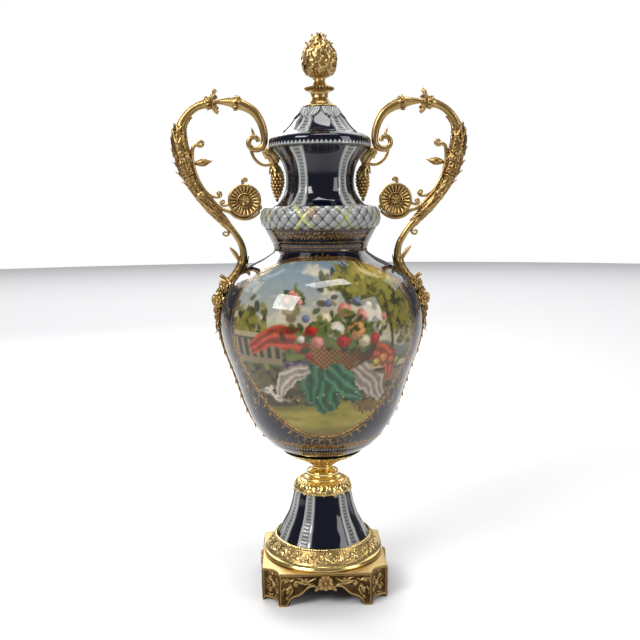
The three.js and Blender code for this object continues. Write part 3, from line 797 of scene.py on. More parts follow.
def rib_look(q, along, height, pitch=5.2):
    """Relief and tints of a raised rib: q runs from -1 to 1 across it. It has two white rounded borders and a
    sunken middle with a grey chain of husks, `pitch` long. The grey is painted darker between the raised
    husks, and the dark lines at the rib's edges and at the steps down into its middle are painted shade."""
    on = smoothstep(1.06, 0.94, np.abs(q))
    border = window(0.46, 0.98, 0.10, np.abs(q))
    middle = smoothstep(0.5, 0.36, np.abs(q))
    husk = 0.5 + 0.5 * np.cos(TAU * (along / pitch - 0.55 * np.abs(q)))
    relief = height * on * (0.55 + 0.45 * border + 0.25 * middle * husk)
    shading = middle * (0.35 + 0.65 * (1 - husk) ** 1.5)
    rim = window(0.93, 1.06, 0.04, np.abs(q)) * 0.45 + window(0.44, 0.52, 0.03, np.abs(q)) * 0.4
    return on, relief, np.clip(shading + rim, 0, 1)


def white_and_ink_and_shade():
    """The colours of the white relief and of the dark that draws lines on it and paints the shade in its
    hollows.
    """
    chosen = settings()
    return np.array(chosen.porcelain_white[:]), np.array(chosen.rib_ink_and_shade[:])


def porcelain_paint(shape):
    """Plain cobalt tint, no gilding, over a grid."""
    tint = np.broadcast_to(np.array(settings().cobalt[:]), (*shape, 3)).copy()
    return tint, np.zeros(shape)


def ribbed(tint, q, along, height):
    """Adds white ribs to a painted surface. Returns its relief and its new tints."""
    on, relief, grey = rib_look(q, along, height)
    white, ink_and_shade = white_and_ink_and_shade()
    rib = white * (1 - grey[..., None]) + ink_and_shade * grey[..., None]
    return relief, tint * (1 - on[..., None]) + rib * on[..., None]


FOOT_RIBS, FOOT_TURN = (34, 71, 109, 146, -146, -109, -71, -34), 7.0
NECK_RIBS, NECK_TURN = (35, 88, 145, -145, -88, -35), 3.5
LID_RIBS, LID_TURN = (31, 90, 149, -149, -90, -31), 2.0
FOOT_OUTLINE = [(77, 79.5), (70.5, 90), (65, 102), (56.5, 118), (50, 138), (45.5, 158), (38, 173)]
PORCELAIN_WALL = 6.0


def inner_wall(outer, wall):
    """The inner side of a wall: the outer profile moved in along its normal, from end to start."""
    dr, dz = np.gradient(outer[:, 0]), np.gradient(outer[:, 1])
    size = np.hypot(dr, dz) + 1e-9
    return np.stack([outer[:, 0] - wall * dz / size, outer[:, 1] + wall * dr / size], 1)[::-1]


def shape_foot():
    """Bell foot: a turned hollow bell with eight raised ribs, cobalt between them."""
    low, high = span("foot")
    outer = through(FOOT_OUTLINE, 1.5)
    inner = inner_wall(through(FOOT_OUTLINE, 8.0), PORCELAIN_WALL)[:-1]
    profile = np.vstack([[(0, high[2] - 7)], inner, [(70, low[2])], outer, [(30, high[2]), (0, high[2])]])
    count = 440
    angles = round_angles(count)
    half = 9.6
    q = np.broadcast_to(rib_places(angles, FOOT_RIBS, FOOT_TURN) / half, (len(profile), count))
    along = np.broadcast_to(profile[:, 1:], q.shape)
    outside = np.zeros((len(profile), 1))
    first = len(inner) + 2
    outside[first:first + len(outer)] = 1
    tint, gilding = porcelain_paint(q.shape)
    relief, ribbed_tint = ribbed(tint, q, along, 1.9)
    tint = np.where(outside[..., None] > 0, ribbed_tint, np.array(settings().porcelain_white[:]))
    ends = outside * smoothstep(low[2], low[2] + 2, along)
    return [sheet(turned(profile, angles, relief * ends), tint=tint, gilding=gilding)]


# ---------- stem, cup and finial ----------

def shape_stem():
    """Turned rings over a skirt of drooping leaves."""
    low, high = span("stem")
    base, top = low[2] + 18.3, high[2]
    profile = chain([(0, base), (36.4, base), (41.0, base - 5), (46.6, base - 14), (48.2, base - 14.5),
                     (47.6, base - 10), (43.5, base - 3.6), (38, base + 2.2), (32.4, base + 4.2),
                     (33.2, base + 6.2), (30.4, base + 8.6), (27.4, base + 10.2), (26.2, base + 12.4),
                     (27.0, base + 14.8), (25.6, base + 17.4), (21, base + 19.4), (17.6, base + 21.6),
                     (17.2, base + 24), (19.4, top - 0.4), (19.6, top), (0, top)], 1.0, 0.6)
    angles = round_angles(126)
    skirt = window(base - 15, base + 1, 1.5, profile[:, 1])[:, None] * (profile[:, :1] > 37)
    relief = 0.4 * skirt * np.cos(18 * angles)
    # Painted shade on the rings under the skirt of leaves.
    shade = np.broadcast_to(0.78 - 0.5 * skirt, relief.shape)
    sheets = [sheet(turned(profile, angles, relief), relief=shade)]
    for ring, (count, reach, lobes, width) in enumerate([(18, 1.0, 3, 6.6), (18, 0.62, 2, 5.0)]):
        for angle in round_angles(count, 10 * ring):
            out = np.array([math.sin(angle), -math.cos(angle), 0])
            line = through([(36.5, base + 3.2), (42.5, base - 0.6), (46.8, base - 8), (48.8, base - 15.5)],
                           1.0)
            line = line[:max(6, int(len(line) * reach))]
            path = line[:, :1] * out + line[:, 1:] * (0, 0, 1) + out * 0.7
            sheets.append(leaf(path, width, lobes, 0.8, -0.8, out + (0, 0, 0.6), 0.5, 14))
    return sheets


def shape_cup():
    """Shallow turned cup with two rings of overlapping petals."""
    low, high = span("body_cup")
    base, top, rim = low[2], high[2], high[0]
    outer = chain([(0, base), (20.8, base), (24.5, base + 2), (29, base + 5.5), (38, base + 9.8),
                   (54, base + 17), (rim - 1, top - 1.6), (rim, top - 0.8), (rim - 0.8, top), (rim - 3, top)],
                  1.15, 0.8)
    inner = np.array([(47.5, base + 17.6), (46, base + 16.6), (30, base + 12.7), (0, base + 12.7)])
    profile = np.vstack([outer, inner])
    count = 360
    angles = round_angles(count)
    radius = profile[:, :1]
    on = window(22, rim - 2.5, 1.0, radius) * (np.arange(len(profile))[:, None] < len(outer))
    petals = 30
    share = (radius - 22) / (rim - 24)
    first = np.abs(np.cos(petals * angles / 2)) ** 0.5
    second = np.abs(np.sin(petals * angles / 2)) ** 0.5
    rows = 2.0
    phase = share * rows % 1.0
    which = np.floor(share * rows) % 2
    petal = np.where(which > 0, second, first)
    tip_edge = smoothstep(1.0, 0.72, phase + 0.5 * (1 - petal))
    rib = 0.5 + 0.5 * np.cos(petals * 4 * angles)
    art = petal * tip_edge * (0.75 + 0.25 * rib)
    relief = on * 1.3 * (art - 0.5)
    # Painted shade between the petals, lighter where the petals stand high.
    shade = np.where(on > 0.5, 0.25 + 0.65 * art, 0.8)
    return [sheet(turned(profile, angles, relief), relief=shade)]


def shape_finial():
    """Flame-leaf bud: a turned base, disc and fluted core under three rings of swirled leaves."""
    low, high = span("finial")
    base, top = low[2], high[2]
    profile = chain([(0, base), (27.4, base), (28, base + 0.6), (28, base + 2.6), (25.5, base + 4),
                     (21.5, base + 5.4), (19.8, base + 8), (16.6, base + 11), (13.6, base + 15),
                     (13.0, base + 20), (14.6, base + 24), (19, base + 27), (23.2, base + 29),
                     (23.6, base + 30.6), (21.0, base + 32), (15.5, base + 34), (11.0, base + 38),
                     (8.8, base + 43), (10.5, base + 46), (16.5, base + 49), (23.6, base + 56),
                     (26.2, base + 68), (23.0, base + 84), (13.0, base + 100), (0, base + 110)], 1.3, 0.9)
    angles = round_angles(140)
    z = profile[:, 1:]
    disc = window(base + 26.5, base + 31.5, 0.6, z) * (profile[:, :1] > 15)
    flutes = window(base + 47, base + 66, 2, z)
    relief = disc * 0.8 * np.cos(28 * angles) + flutes * 1.1 * (np.abs(np.cos(11 * angles)) - 0.6)
    # Painted shade in the disc's notches and the flutes' hollows, and over the core above the flutes where
    # the leaves cover it.
    shade = np.clip(0.75 - 0.35 * disc * (1 - np.cos(28 * angles)) - 0.6 * flutes *
                    (1 - np.abs(np.cos(11 * angles))) - 0.4 * (z > base + 66), 0, 1)
    sheets = [sheet(turned(profile, angles, relief), relief=np.broadcast_to(shade, relief.shape))]
    rings = [(8, 0, [(20, 50), (26, 60), (27.6, 70), (24.0, 80), (27.5, 83)], 9.5, 24),
             (8, 22, [(25, 62), (28, 74), (25.2, 88), (19, 97), (22.5, 100)], 9.0, 30),
             (6, 10, [(25.0, 72), (24.5, 86), (17.5, 99), (10.5, 108), (12.5, 112)], 8.5, 36),
             (4, 35, [(18, 88), (14.5, 100), (7.5, 109), (3.5, top - base - 1.5)], 6.5, 30)]
    for count, start, outline, width, swirl in rings:
        line = through(outline, 1.4)
        share = np.linspace(0, 1, len(line))
        for angle in round_angles(count, start):
            turn = angle + math.radians(swirl) * share
            out = np.stack([np.sin(turn), -np.cos(turn), 0 * turn], 1)
            path = line[:, :1] * out + np.stack([0 * share, 0 * share, base + line[:, 1]], 1)
            sheets.append(leaf(path, width, 4, 0.9, -1.6, out + (0, 0, 0.2), 0.8, 18))
    return sheets


# ---------- body ----------

BODY_OUTLINE = [(62.3, 229.3), (76.5, 238), (90, 248.6), (112.5, 279), (126.3, 310), (142.5, 360),
                (158.5, 406), (164.5, 444), (159, 482), (143, 512), (115, 534), (90, 547), (77.5, 555)]
MEDALLION_SPREAD = 57.0  # half angle in degrees
MEDALLION_MIDDLE, MEDALLION_UP, MEDALLION_DOWN = 440.0, 109.0, 163.0


def body_outer(step):
    """Outside of the vase from its shoulder's foot to the collar's foot."""
    return through(BODY_OUTLINE, step)


def body_radius(z):
    """Radius of the vase's outside at a height."""
    line = body_outer(2.0)
    return np.interp(z, line[:, 1], line[:, 0])


def medallion_place(angles, z):
    """Where a point lies on the medallion: 0 in its middle and 1 on its edge. Above the middle
    the outline is a superellipse of power 4.2 and below it an ellipse, in angle and height."""
    x = np.abs(np.degrees((angles + math.pi) % TAU - math.pi)) / MEDALLION_SPREAD
    y = (z - MEDALLION_MIDDLE) / np.where(z > MEDALLION_MIDDLE, MEDALLION_UP, MEDALLION_DOWN)
    power = 2.0 + 2.2 * smoothstep(MEDALLION_MIDDLE - 30, MEDALLION_MIDDLE + 30, z)
    return (x ** power + np.abs(y) ** power) ** (1 / power)


def shape_body():
    """Hollow ovoid vase, closely gridded over the painted front and openly behind."""
    low = span("body")[0]
    front = np.radians(np.linspace(-76, 76, 244))
    rest = np.radians(np.linspace(76, 284, 54)[1:-1])
    angles = np.concatenate([front, rest])
    outer = body_outer(1.75)
    inner = inner_wall(body_outer(14.0), PORCELAIN_WALL)
    foot = [(0, low[2]), (29.5, low[2]), (45.6, 221.3)]
    profile = np.vstack([foot, outer, [(74.5, 559)], [(69.5, 559)], inner[1:], [(40, 226), (0, 225)]])
    z = np.broadcast_to(profile[:, 1:], (len(profile), len(angles)))
    outside = (np.arange(len(profile)) < len(foot) + len(outer) + 1)[:, None]
    tint, gilding = porcelain_paint(z.shape)
    place = medallion_place(angles[None, :], z)
    tint, gilding = paint_body(tint, gilding, np.broadcast_to(angles, z.shape), z, place)
    tint = np.where(outside[..., None], tint, np.array(settings().porcelain_white[:]))
    gilding = gilding * outside
    relief = 0.25 * gilding * outside
    return [sheet(turned(profile, angles, relief), tint=tint, gilding=gilding)]


def shape_collar():
    """Flared collar round the open mouth: a turned ring with gilt bands."""
    high = span("body")[1]
    top, rim = high[2], 89.0
    profile = chain([(74.4, 556.5), (75.3, 559.5), (74.7, 561.5), (77, 570), (rim - 0.3, top - 0.6),
                     (rim - 0.6, top), (84.6, top), (84, top - 0.8), (69.8, 562), (69.6, 556.5)], 1.25, 0.3)
    count = 400
    angles = round_angles(count)
    z = np.broadcast_to(profile[:, 1:], (len(profile), count))
    outside = (np.arange(len(profile)) < len(profile) * 0.5)[:, None]
    tint, gilding = porcelain_paint(z.shape)
    gilding = paint_collar(np.broadcast_to(angles, z.shape), z) * outside
    tint = np.where(outside[..., None], tint, np.array(settings().porcelain_white[:]))
    return [sheet(turned(profile, angles, 0.12 * gilding), wrap_rows=True, tint=tint, gilding=gilding)]


def paint_collar(angles, z):
    """Gilding of the collar: a close arabesque above, a thin line, and small arches below."""
    x = angles * 80
    upper = window(574.6, 592.6, 0.4, z)
    cell = 11.0
    lines = [curl((-2.6, 588.3), 2.4, 200, 1.2, 0.45, [(-5.5, 584)]),
             curl((2.6, 579.5), 2.4, 20, 1.2, 0.45, [(5.5, 584)]),
             curl((2.9, 588.2), 2.1, 300, -1.1, 0.4), curl((-2.9, 579.3), 2.1, 120, -1.1, 0.4),
             stroke([(-5.5, 584), (0, 582), (5.5, 584)], 0.5, 0.0)]
    lines += spray_of_leaves((0, 584), 90, 5, 3.4, 0.5, 260)
    lines = [line + (shift, 0, 0) for line in lines for shift in (-cell, 0, cell)]
    art = drawn(tiled(x, cell), z, lines, 0.35) * upper
    rules = window(572.8, 573.9, 0.25, z) + window(592.4, 593.6, 0.3, z) + window(561.2, 562.2, 0.25, z)
    arch_pitch = 6.3
    bow = spiral((0, 566.0), 2.3, 0, 0.5, 1.0)
    arch = [np.column_stack([bow, np.full(len(bow), 0.45)]),
            np.array([[0, 566.2, 0.7], [-3.15, 570.4, 0.5], [3.15, 570.4, 0.5]])]
    arches = drawn(tiled(x, arch_pitch), z, arch, 0.3)
    return np.clip(art + rules + arches, 0, 1)


def frame_flourishes():
    """Gold leaf scrolls that climb beside the medallion, in millimetres round from the front and
    up, for the right side."""
    lines = []
    for k, height in enumerate(np.linspace(325, 505, 7)):
        share = math.sqrt(max(0.0, 1 - ((height - MEDALLION_MIDDLE) / 168) ** 2))
        edge = (MEDALLION_SPREAD * share + 7.5) * math.pi / 180 * body_radius(height)
        side = 1 if k % 2 else -1
        lines.append(curl((edge + 5, height), 5.2, 200, side * 1.4, 1.1, [(edge + 1, height - side * 14)]))
        lines.append(stroke([(edge + 9, height + 4), (edge + 15, height + 13), (edge + 13, height + 22)],
                            1.2))
        lines.append(stroke([(edge + 8, height - 6), (edge + 15, height - 10), (edge + 20, height - 6)], 1.1))
        lines += spray_of_leaves((edge + 10, height + 2), 30, 4, 9, 0.9, 120)
    return lines


def edge_leaves():
    """Small gold leaf tips that stand out from the medallion's lower edge."""
    lines = []
    for share in np.linspace(0.04, 0.9, 15):
        turn = share * math.pi / 2
        angle = MEDALLION_SPREAD * math.sin(turn) * 1.03
        height = MEDALLION_MIDDLE - 1.03 * MEDALLION_DOWN * math.cos(turn)
        x = math.radians(angle) * body_radius(height)
        lines.append(stroke([(x, height), (x + 3.5, height - 4.5), (x + 9, height - 5.5)], 0.9, 0.8))
        lines.append(stroke([(x, height), (x + 1.0, height - 5), (x + 3, height - 9)], 0.7, 0.8))
    return lines


def paint_body(tint, gilding, angles, z, place):
    """The medallion, its double gold frame, the scrolls round it with a crest above, and the gold
    ornament, pearls and lines round the foot. The back is left plain."""
    radius = body_radius(z)
    turned_angles = (angles + math.pi) % TAU - math.pi
    x = turned_angles * radius
    picture = smoothstep(0.985, 0.97, place)
    rows, columns = np.flatnonzero(picture.any(1)), np.flatnonzero(picture.any(0))
    box = (slice(rows.min(), rows.max() + 1), slice(columns.min(), columns.max() + 1))
    across = np.degrees(turned_angles[0, box[1]]) / MEDALLION_SPREAD
    up = (z[box[0], 0] - (MEDALLION_MIDDLE - MEDALLION_DOWN)) / (MEDALLION_UP + MEDALLION_DOWN)
    painted = paint_picture(across, up)
    share = picture[box][..., None]
    tint[box] = tint[box] * (1 - share) + painted * share
    frame_line = window(0.975, 1.0, 0.004, place) + window(1.018, 1.028, 0.003, place)
    front = np.abs(turned_angles) < math.radians(100)
    art = drawn(np.abs(x), z, frame_flourishes() + edge_leaves(), 0.4) * (place > 1.03) * front
    crest = [curl((7.5, 551.5), 2.6, 60, -1.2, 1.1, [(1.2, 548.5)]),
             stroke([(0, 548), (0, 552), (0, 556)], 1.2)]
    crest += [curl((17, 549.5), 2.2, 90, -1.1, 0.8, [(9, 547.5)]),
              stroke([(20, 549), (27, 547.5), (34, 548)], 0.8)]
    art = np.maximum(art, drawn(np.abs(x), z, crest, 0.4) * (place > 1.0))
    foot_x = tiled(turned_angles * 88, 17.0)
    foot_lines = flipped([curl((4.6, 262), 2.8, 240, 1.2, 0.8, [(0, 256)]),
                          stroke([(0, 255), (6, 257), (8.5, 268)], 0.8)])
    foot_lines += [stroke([(0, 256), (0, 264), (0, 272)], 1.0)]
    art = np.maximum(art, drawn(foot_x, z, foot_lines, 0.4))
    pearls = window(250.8, 253.4, 0.4, z) * (0.45 + 0.55 * np.cos(130 * turned_angles))
    tint = blended(tint, settings().porcelain_white[:], np.clip(pearls, 0, 1))
    rings = window(236.5, 238.2, 0.4, z) + window(246.6, 247.8, 0.4, z) + window(256, 257, 0.3, z)
    gilding = np.clip(np.maximum(art, frame_line + rings), 0, 1)
    return tint, gilding


# ---------- the painting ----------

PICTURE_ASPECT = 0.58  # half width of the painting in units of its height


def pigment(red, green, blue):
    """A display colour of 0 to 255 as linear light."""
    value = np.array([red, green, blue]) / 255.0
    return np.where(value <= 0.04045, value / 12.92, ((value + 0.055) / 1.055) ** 2.4)


class Canvas:
    """A painting over a grid: x across from -0.58 to 0.58 by columns, y up from 0 to 1 by rows.
    Every stroke mixes its colour into the grid by its own soft mask."""

    def __init__(self, x, y):
        self.x, self.y = x, y
        self.colour = np.zeros((len(y), len(x), 3))

    def wash(self, mask, colour):
        """Mixes a colour in by a mask over the whole grid."""
        self.colour = self.colour * (1 - mask[..., None]) + np.asarray(colour) * mask[..., None]

    def dab(self, place, size, turn, colour, strength=1.0, edge=0.35):
        """A soft ellipse with half axes `size`, turned by `turn` degrees."""
        reach = max(size) * 1.1
        columns = np.flatnonzero(np.abs(self.x - place[0]) < reach)
        rows = np.flatnonzero(np.abs(self.y - place[1]) < reach)
        if not len(columns) or not len(rows):
            return
        box = (slice(rows.min(), rows.max() + 1), slice(columns.min(), columns.max() + 1))
        across, up = self.x[box[1]][None, :] - place[0], self.y[box[0]][:, None] - place[1]
        c, s = math.cos(math.radians(turn)), math.sin(math.radians(turn))
        far = np.hypot((across * c + up * s) / size[0], (up * c - across * s) / size[1])
        mask = (smoothstep(1.0, 1.0 - edge, far) * strength)[..., None]
        self.colour[box] = self.colour[box] * (1 - mask) + np.asarray(colour) * mask

    def foliage(self, place, spread, count, size, colours, seed, turn=90.0):
        """Many small leaf dabs scattered round a place."""
        random = np.random.default_rng(seed)
        for k in range(count):
            spot = place + random.normal(0, 0.5, 2) * spread
            colour = colours[k * len(colours) // count] * random.uniform(0.8, 1.2)
            self.dab(spot, size * random.uniform(0.9, 1.9) * np.array([1.0, 0.6]),
                     random.normal(0, turn), colour, 0.85)

    def line(self, points, width, colour, strength=1.0):
        """A brush line that tapers to both ends."""
        path = through(np.array(points, float) * 100, 0.8) / 100
        share = np.linspace(0, 1, len(path))
        for place, t in zip(path, share):
            reach = width * (0.35 + 0.65 * math.sin(math.pi * t))
            self.dab(place, (reach, reach), 0, colour, strength, 0.5)

    def cloth(self, points, widths, folds, dark, light, seed):
        """Draped cloth along a route: folds run beside it as waves across its width, each lit on
        one side, and its edges ripple."""
        path = through(np.array(points, float) * 100, 0.8) / 100
        along = distance_along(path) / distance_along(path)[-1]
        tangent = np.gradient(path, axis=0)
        tangent /= np.linalg.norm(tangent, axis=1)[:, None]
        x, y = np.meshgrid(self.x, self.y)
        far = np.hypot(x[..., None] - path[:, 0], y[..., None] - path[:, 1])
        nearest = far.argmin(-1)
        dx, dy = x - path[nearest, 0], y - path[nearest, 1]
        offset = dx * -tangent[nearest, 1] + dy * tangent[nearest, 0]
        t = along[nearest]
        width = np.interp(t, np.linspace(0, 1, len(widths)), widths)
        ripple = 1 + 0.10 * np.sin(17 * t + seed) + 0.06 * np.sin(41 * t + 2 * seed)
        q = offset / (width * ripple)
        beyond = np.abs(dx * tangent[nearest, 0] + dy * tangent[nearest, 1])
        mask = smoothstep(1.0, 0.88, np.abs(q)) * smoothstep(0.02, 0.0, beyond)
        swing = 0.62 * folds * math.pi * (q + 0.35 * np.sin(5 * t + seed)
                                          + 0.5 * noise(x * 9, y * 9, seed + 3, 2))
        fold = 0.5 + 0.5 * np.sin(swing)
        crease = np.clip(-np.cos(swing), 0, 1) ** 8
        tone = np.clip(0.2 + 0.6 * fold ** 1.3 + 0.25 * noise(x * 30, y * 30, seed, 3), 0, 1)[..., None]
        paint = np.asarray(dark) * (1 - tone) + np.asarray(light) * tone
        paint = paint * (1 - 0.45 * crease[..., None])
        self.colour = self.colour * (1 - mask[..., None]) + paint * mask[..., None]

    def rose(self, place, size, colour, turn):
        """A full rose: a dark disc, three rings of lighter petals and a deep heart."""
        colour = np.asarray(colour)
        self.dab(place, (size, size), 0, colour * 0.35, 1.0, 0.2)
        for ring, count, reach, petal_size, light in ((0, 7, 0.62, 0.46, 0.8), (1, 6, 0.40, 0.38, 1.0),
                                                      (2, 4, 0.2, 0.28, 1.2)):
            for k in range(count):
                angle = math.radians(turn + 360 * k / count + 40 * ring)
                tip = np.array(place) + size * reach * np.array([math.cos(angle), math.sin(angle)])
                lit = light * (1.0 + 0.35 * math.sin(angle + 0.8))
                self.dab(tip - 0.06 * size, (petal_size * size * 1.05, petal_size * size * 0.85),
                         math.degrees(angle) + 90, colour * 0.4, 0.8, 0.3)
                self.dab(tip, (petal_size * size, petal_size * size * 0.72), math.degrees(angle) + 90,
                         np.minimum(colour * lit, 0.95), 0.9, 0.35)
        self.dab(place, (size * 0.16, size * 0.12), 30, colour * 0.25, 0.8, 0.5)

    def fruit(self, place, size, colour, squash=1.0):
        """A round fruit lit from the upper left."""
        colour, place = np.asarray(colour), np.array(place)
        self.dab(place, (size, size * squash), 0, colour * 0.25, 1.0, 0.15)
        self.dab(place + (-0.08 * size, 0.08 * size), (size * 0.86, size * squash * 0.86), 0,
                 colour, 0.9, 0.6)
        self.dab(place + (-0.3 * size, 0.3 * size), (size * 0.4, size * squash * 0.36), 30,
                 np.minimum(colour * 1.8 + 0.08, 0.95), 0.8, 0.8)


def paint_sky(canvas):
    """Pale sky, clouds, far hills and the trees that frame the view."""
    x, y = np.meshgrid(canvas.x, canvas.y)
    drift = noise(x * 9, y * 16, 5, 4)
    high = smoothstep(0.5, 0.95, y + 0.1 * drift)
    canvas.wash(np.ones_like(x), pigment(205, 200, 172))
    canvas.wash(high, pigment(132, 156, 178))
    canvas.wash(smoothstep(0.05, 0.5, drift) * 0.8, pigment(222, 220, 205))
    canvas.wash(window(-0.05, 0.5, 0.2, x) * window(0.62, 0.8, 0.08, y) * 0.4, pigment(228, 205, 165))
    hills = 0.57 + 0.03 * np.sin(9 * x + 1) + 0.02 * np.sin(23 * x)
    canvas.wash(smoothstep(hills + 0.01, hills - 0.01, y), pigment(112, 128, 122))
    canvas.wash(smoothstep(hills - 0.045, hills - 0.065, y + 0.02 * drift), pigment(92, 98, 62))
    olive = [pigment(42, 44, 26), pigment(66, 68, 36), pigment(98, 98, 50), pigment(146, 142, 70)]
    canvas.foliage((-0.47, 0.58), (0.16, 0.16), 260, 0.022, [c * 0.9 for c in olive], 21)
    canvas.foliage((-0.33, 0.52), (0.12, 0.08), 120, 0.018, olive, 22)
    for route, width in (([(0.40, 0.40), (0.385, 0.60), (0.345, 0.76), (0.27, 0.93)], 0.014),
                         ([(0.38, 0.62), (0.42, 0.75), (0.48, 0.84)], 0.009),
                         ([(0.35, 0.74), (0.28, 0.80), (0.19, 0.83)], 0.006)):
        canvas.line(route, width, pigment(58, 47, 32))
        canvas.line([(a - 0.004, b) for a, b in route], width * 0.35, pigment(128, 108, 74), 0.7)
    canvas.foliage((0.34, 0.88), (0.26, 0.11), 420, 0.022, olive, 23)
    canvas.foliage((0.18, 0.86), (0.13, 0.05), 130, 0.017, olive[1:], 24)
    canvas.foliage((0.48, 0.70), (0.10, 0.13), 170, 0.02, olive, 25)
    canvas.foliage((0.40, 0.93), (0.16, 0.04), 90, 0.015, [pigment(170, 160, 84), pigment(190, 172, 96)], 26)


def paint_garden(canvas):
    """A low balustrade, a stone vase's pedestal and the ledge that carries the still life."""
    x, y = np.meshgrid(canvas.x, canvas.y)
    grain = noise(x * 40, y * 40, 8, 3)
    stone, shade, light = pigment(140, 130, 104), pigment(62, 56, 44), pigment(190, 180, 150)
    wall = window(-0.60, -0.16, 0.004, x) * window(0.44, 0.615, 0.003, y)
    canvas.wash(wall, stone)
    openings = (0.5 + 0.5 * np.cos(TAU * x / 0.052)) * window(0.475, 0.575, 0.006, y)
    canvas.wash(wall * smoothstep(0.35, 0.6, openings), pigment(58, 60, 40))
    canvas.wash(wall * window(0.585, 0.615, 0.004, y), light * 0.85)
    canvas.wash(wall * window(0.578, 0.586, 0.002, y), shade)
    pier = window(-0.235, -0.125, 0.003, x) * window(0.40, 0.66, 0.003, y)
    canvas.wash(pier, stone * 0.95)
    canvas.wash(pier * smoothstep(-0.19, -0.13, x) * 0.75, shade)
    canvas.wash(window(-0.25, -0.11, 0.003, x) * window(0.648, 0.672, 0.003, y), light)
    canvas.wash(wall * smoothstep(0.2, 0.6, np.abs(grain)) * 0.25, shade)
    canvas.dab((-0.18, 0.70), (0.035, 0.03), 0, stone * 0.8)
    canvas.dab((-0.18, 0.735), (0.062, 0.032), 0, stone)
    canvas.dab((-0.195, 0.738), (0.03, 0.018), 0, light, 0.7)
    canvas.dab((-0.18, 0.756), (0.07, 0.011), 0, light * 0.9)
    canvas.foliage((-0.18, 0.80), (0.055, 0.035), 90, 0.016, [pigment(50, 60, 30), pigment(110, 120, 56)], 31)
    for k, place in enumerate([(-0.215, 0.79), (-0.165, 0.815), (-0.14, 0.785), (-0.19, 0.83)]):
        canvas.rose(place, 0.02, pigment(214, 150, 140), 40 * k)
    ground = smoothstep(0.40, 0.37, y + 0.02 * noise(x * 12, y * 12, 9, 3))
    canvas.wash(ground, pigment(74, 66, 40))
    ledge = window(-0.20, 0.52, 0.004, x) * window(0.30, 0.435, 0.003, y)
    canvas.wash(ledge, pigment(112, 98, 72))
    canvas.wash(ledge * smoothstep(0.2, 0.7, grain) * 0.5, pigment(150, 134, 100))
    canvas.wash(window(-0.22, 0.54, 0.004, x) * window(0.405, 0.44, 0.003, y), pigment(196, 180, 142))
    canvas.wash(window(-0.20, 0.52, 0.004, x) * window(0.392, 0.406, 0.002, y), pigment(56, 46, 34))


def paint_still_life(canvas):
    """A basket of roses with fruit, between red and green cloths."""
    canvas.cloth([(-0.43, 0.52), (-0.27, 0.60), (-0.10, 0.55), (0.02, 0.45), (-0.06, 0.36)],
                 [0.03, 0.062, 0.075, 0.06, 0.03], 4, pigment(96, 22, 18), pigment(222, 92, 52), 1)
    canvas.cloth([(0.10, 0.47), (0.26, 0.52), (0.38, 0.46), (0.43, 0.34)],
                 [0.03, 0.055, 0.06, 0.03], 4, pigment(104, 26, 20), pigment(230, 110, 64), 2)
    x, y = np.meshgrid(canvas.x, canvas.y)
    bowl = np.hypot((x - 0.10) / 0.185, (y - 0.555) / 0.15)
    basket = smoothstep(1.0, 0.98, bowl) * smoothstep(0.556, 0.552, y) * smoothstep(0.404, 0.41, y)
    weave = 0.5 + 0.5 * np.sin(TAU * x / 0.028) * np.sign(np.sin(TAU * y / 0.026))
    canvas.wash(basket, pigment(70, 44, 24))
    canvas.wash(basket * weave * smoothstep(0.30, -0.10, x), pigment(186, 140, 84))
    canvas.wash(basket * weave * 0.55, pigment(150, 104, 60))
    canvas.wash(basket * smoothstep(0.13, 0.28, x) * 0.55, pigment(38, 24, 16))
    canvas.dab((0.10, 0.56), (0.198, 0.022), 0, pigment(166, 120, 70))
    canvas.dab((0.10, 0.566), (0.185, 0.016), 0, pigment(50, 40, 24))
    green = [pigment(30, 42, 22), pigment(58, 78, 36), pigment(104, 120, 58)]
    canvas.foliage((0.10, 0.62), (0.20, 0.09), 240, 0.02, green, 41)
    tones = {"pink": pigment(224, 150, 140), "cream": pigment(236, 220, 188), "red": pigment(190, 44, 38),
             "white": pigment(232, 228, 218), "peach": pigment(232, 170, 112), "blue": pigment(120, 132, 176)}
    flowers = [(0.00, 0.70, 0.036, "cream"), (0.20, 0.715, 0.034, "pink"), (0.105, 0.745, 0.040, "pink"),
               (0.285, 0.65, 0.030, "white"), (-0.07, 0.635, 0.038, "red"), (0.27, 0.585, 0.032, "red"),
               (0.055, 0.64, 0.050, "white"), (0.165, 0.635, 0.054, "peach"), (-0.04, 0.575, 0.036, "pink"),
               (0.095, 0.58, 0.040, "red"), (0.21, 0.575, 0.036, "cream"), (0.02, 0.78, 0.022, "blue"),
               (0.175, 0.79, 0.022, "blue"), (-0.10, 0.70, 0.022, "blue"), (0.33, 0.70, 0.020, "pink"),
               (0.245, 0.765, 0.020, "cream"), (-0.125, 0.59, 0.022, "white")]
    for k, (a, b, size, tone) in enumerate(flowers):
        canvas.rose((a, b), size, tones[tone], 37 * k)
    canvas.foliage((0.08, 0.66), (0.24, 0.10), 46, 0.015, green[1:], 42)
    for a, b, size, tone, squash in [(0.345, 0.465, 0.042, (226, 140, 62), 0.95),
                                     (0.405, 0.45, 0.036, (206, 96, 48), 0.95),
                                     (0.30, 0.447, 0.032, (218, 184, 88), 0.9),
                                     (0.455, 0.44, 0.03, (150, 160, 74), 1.1)]:
        canvas.fruit((a, b), size, pigment(*tone), squash)
    random = np.random.default_rng(7)
    for row in range(7):
        for k in range(7 - row // 2 * 2 + (row % 2)):
            a = -0.17 + 0.019 * (k - 3) + random.uniform(-0.004, 0.004) + 0.003 * row
            canvas.fruit((a, 0.47 - 0.021 * row), 0.0135,
                         pigment(96, 74, 112) if (k + row) % 3 else pigment(140, 112, 150))
    canvas.foliage((-0.18, 0.49), (0.05, 0.02), 26, 0.02, green, 43)


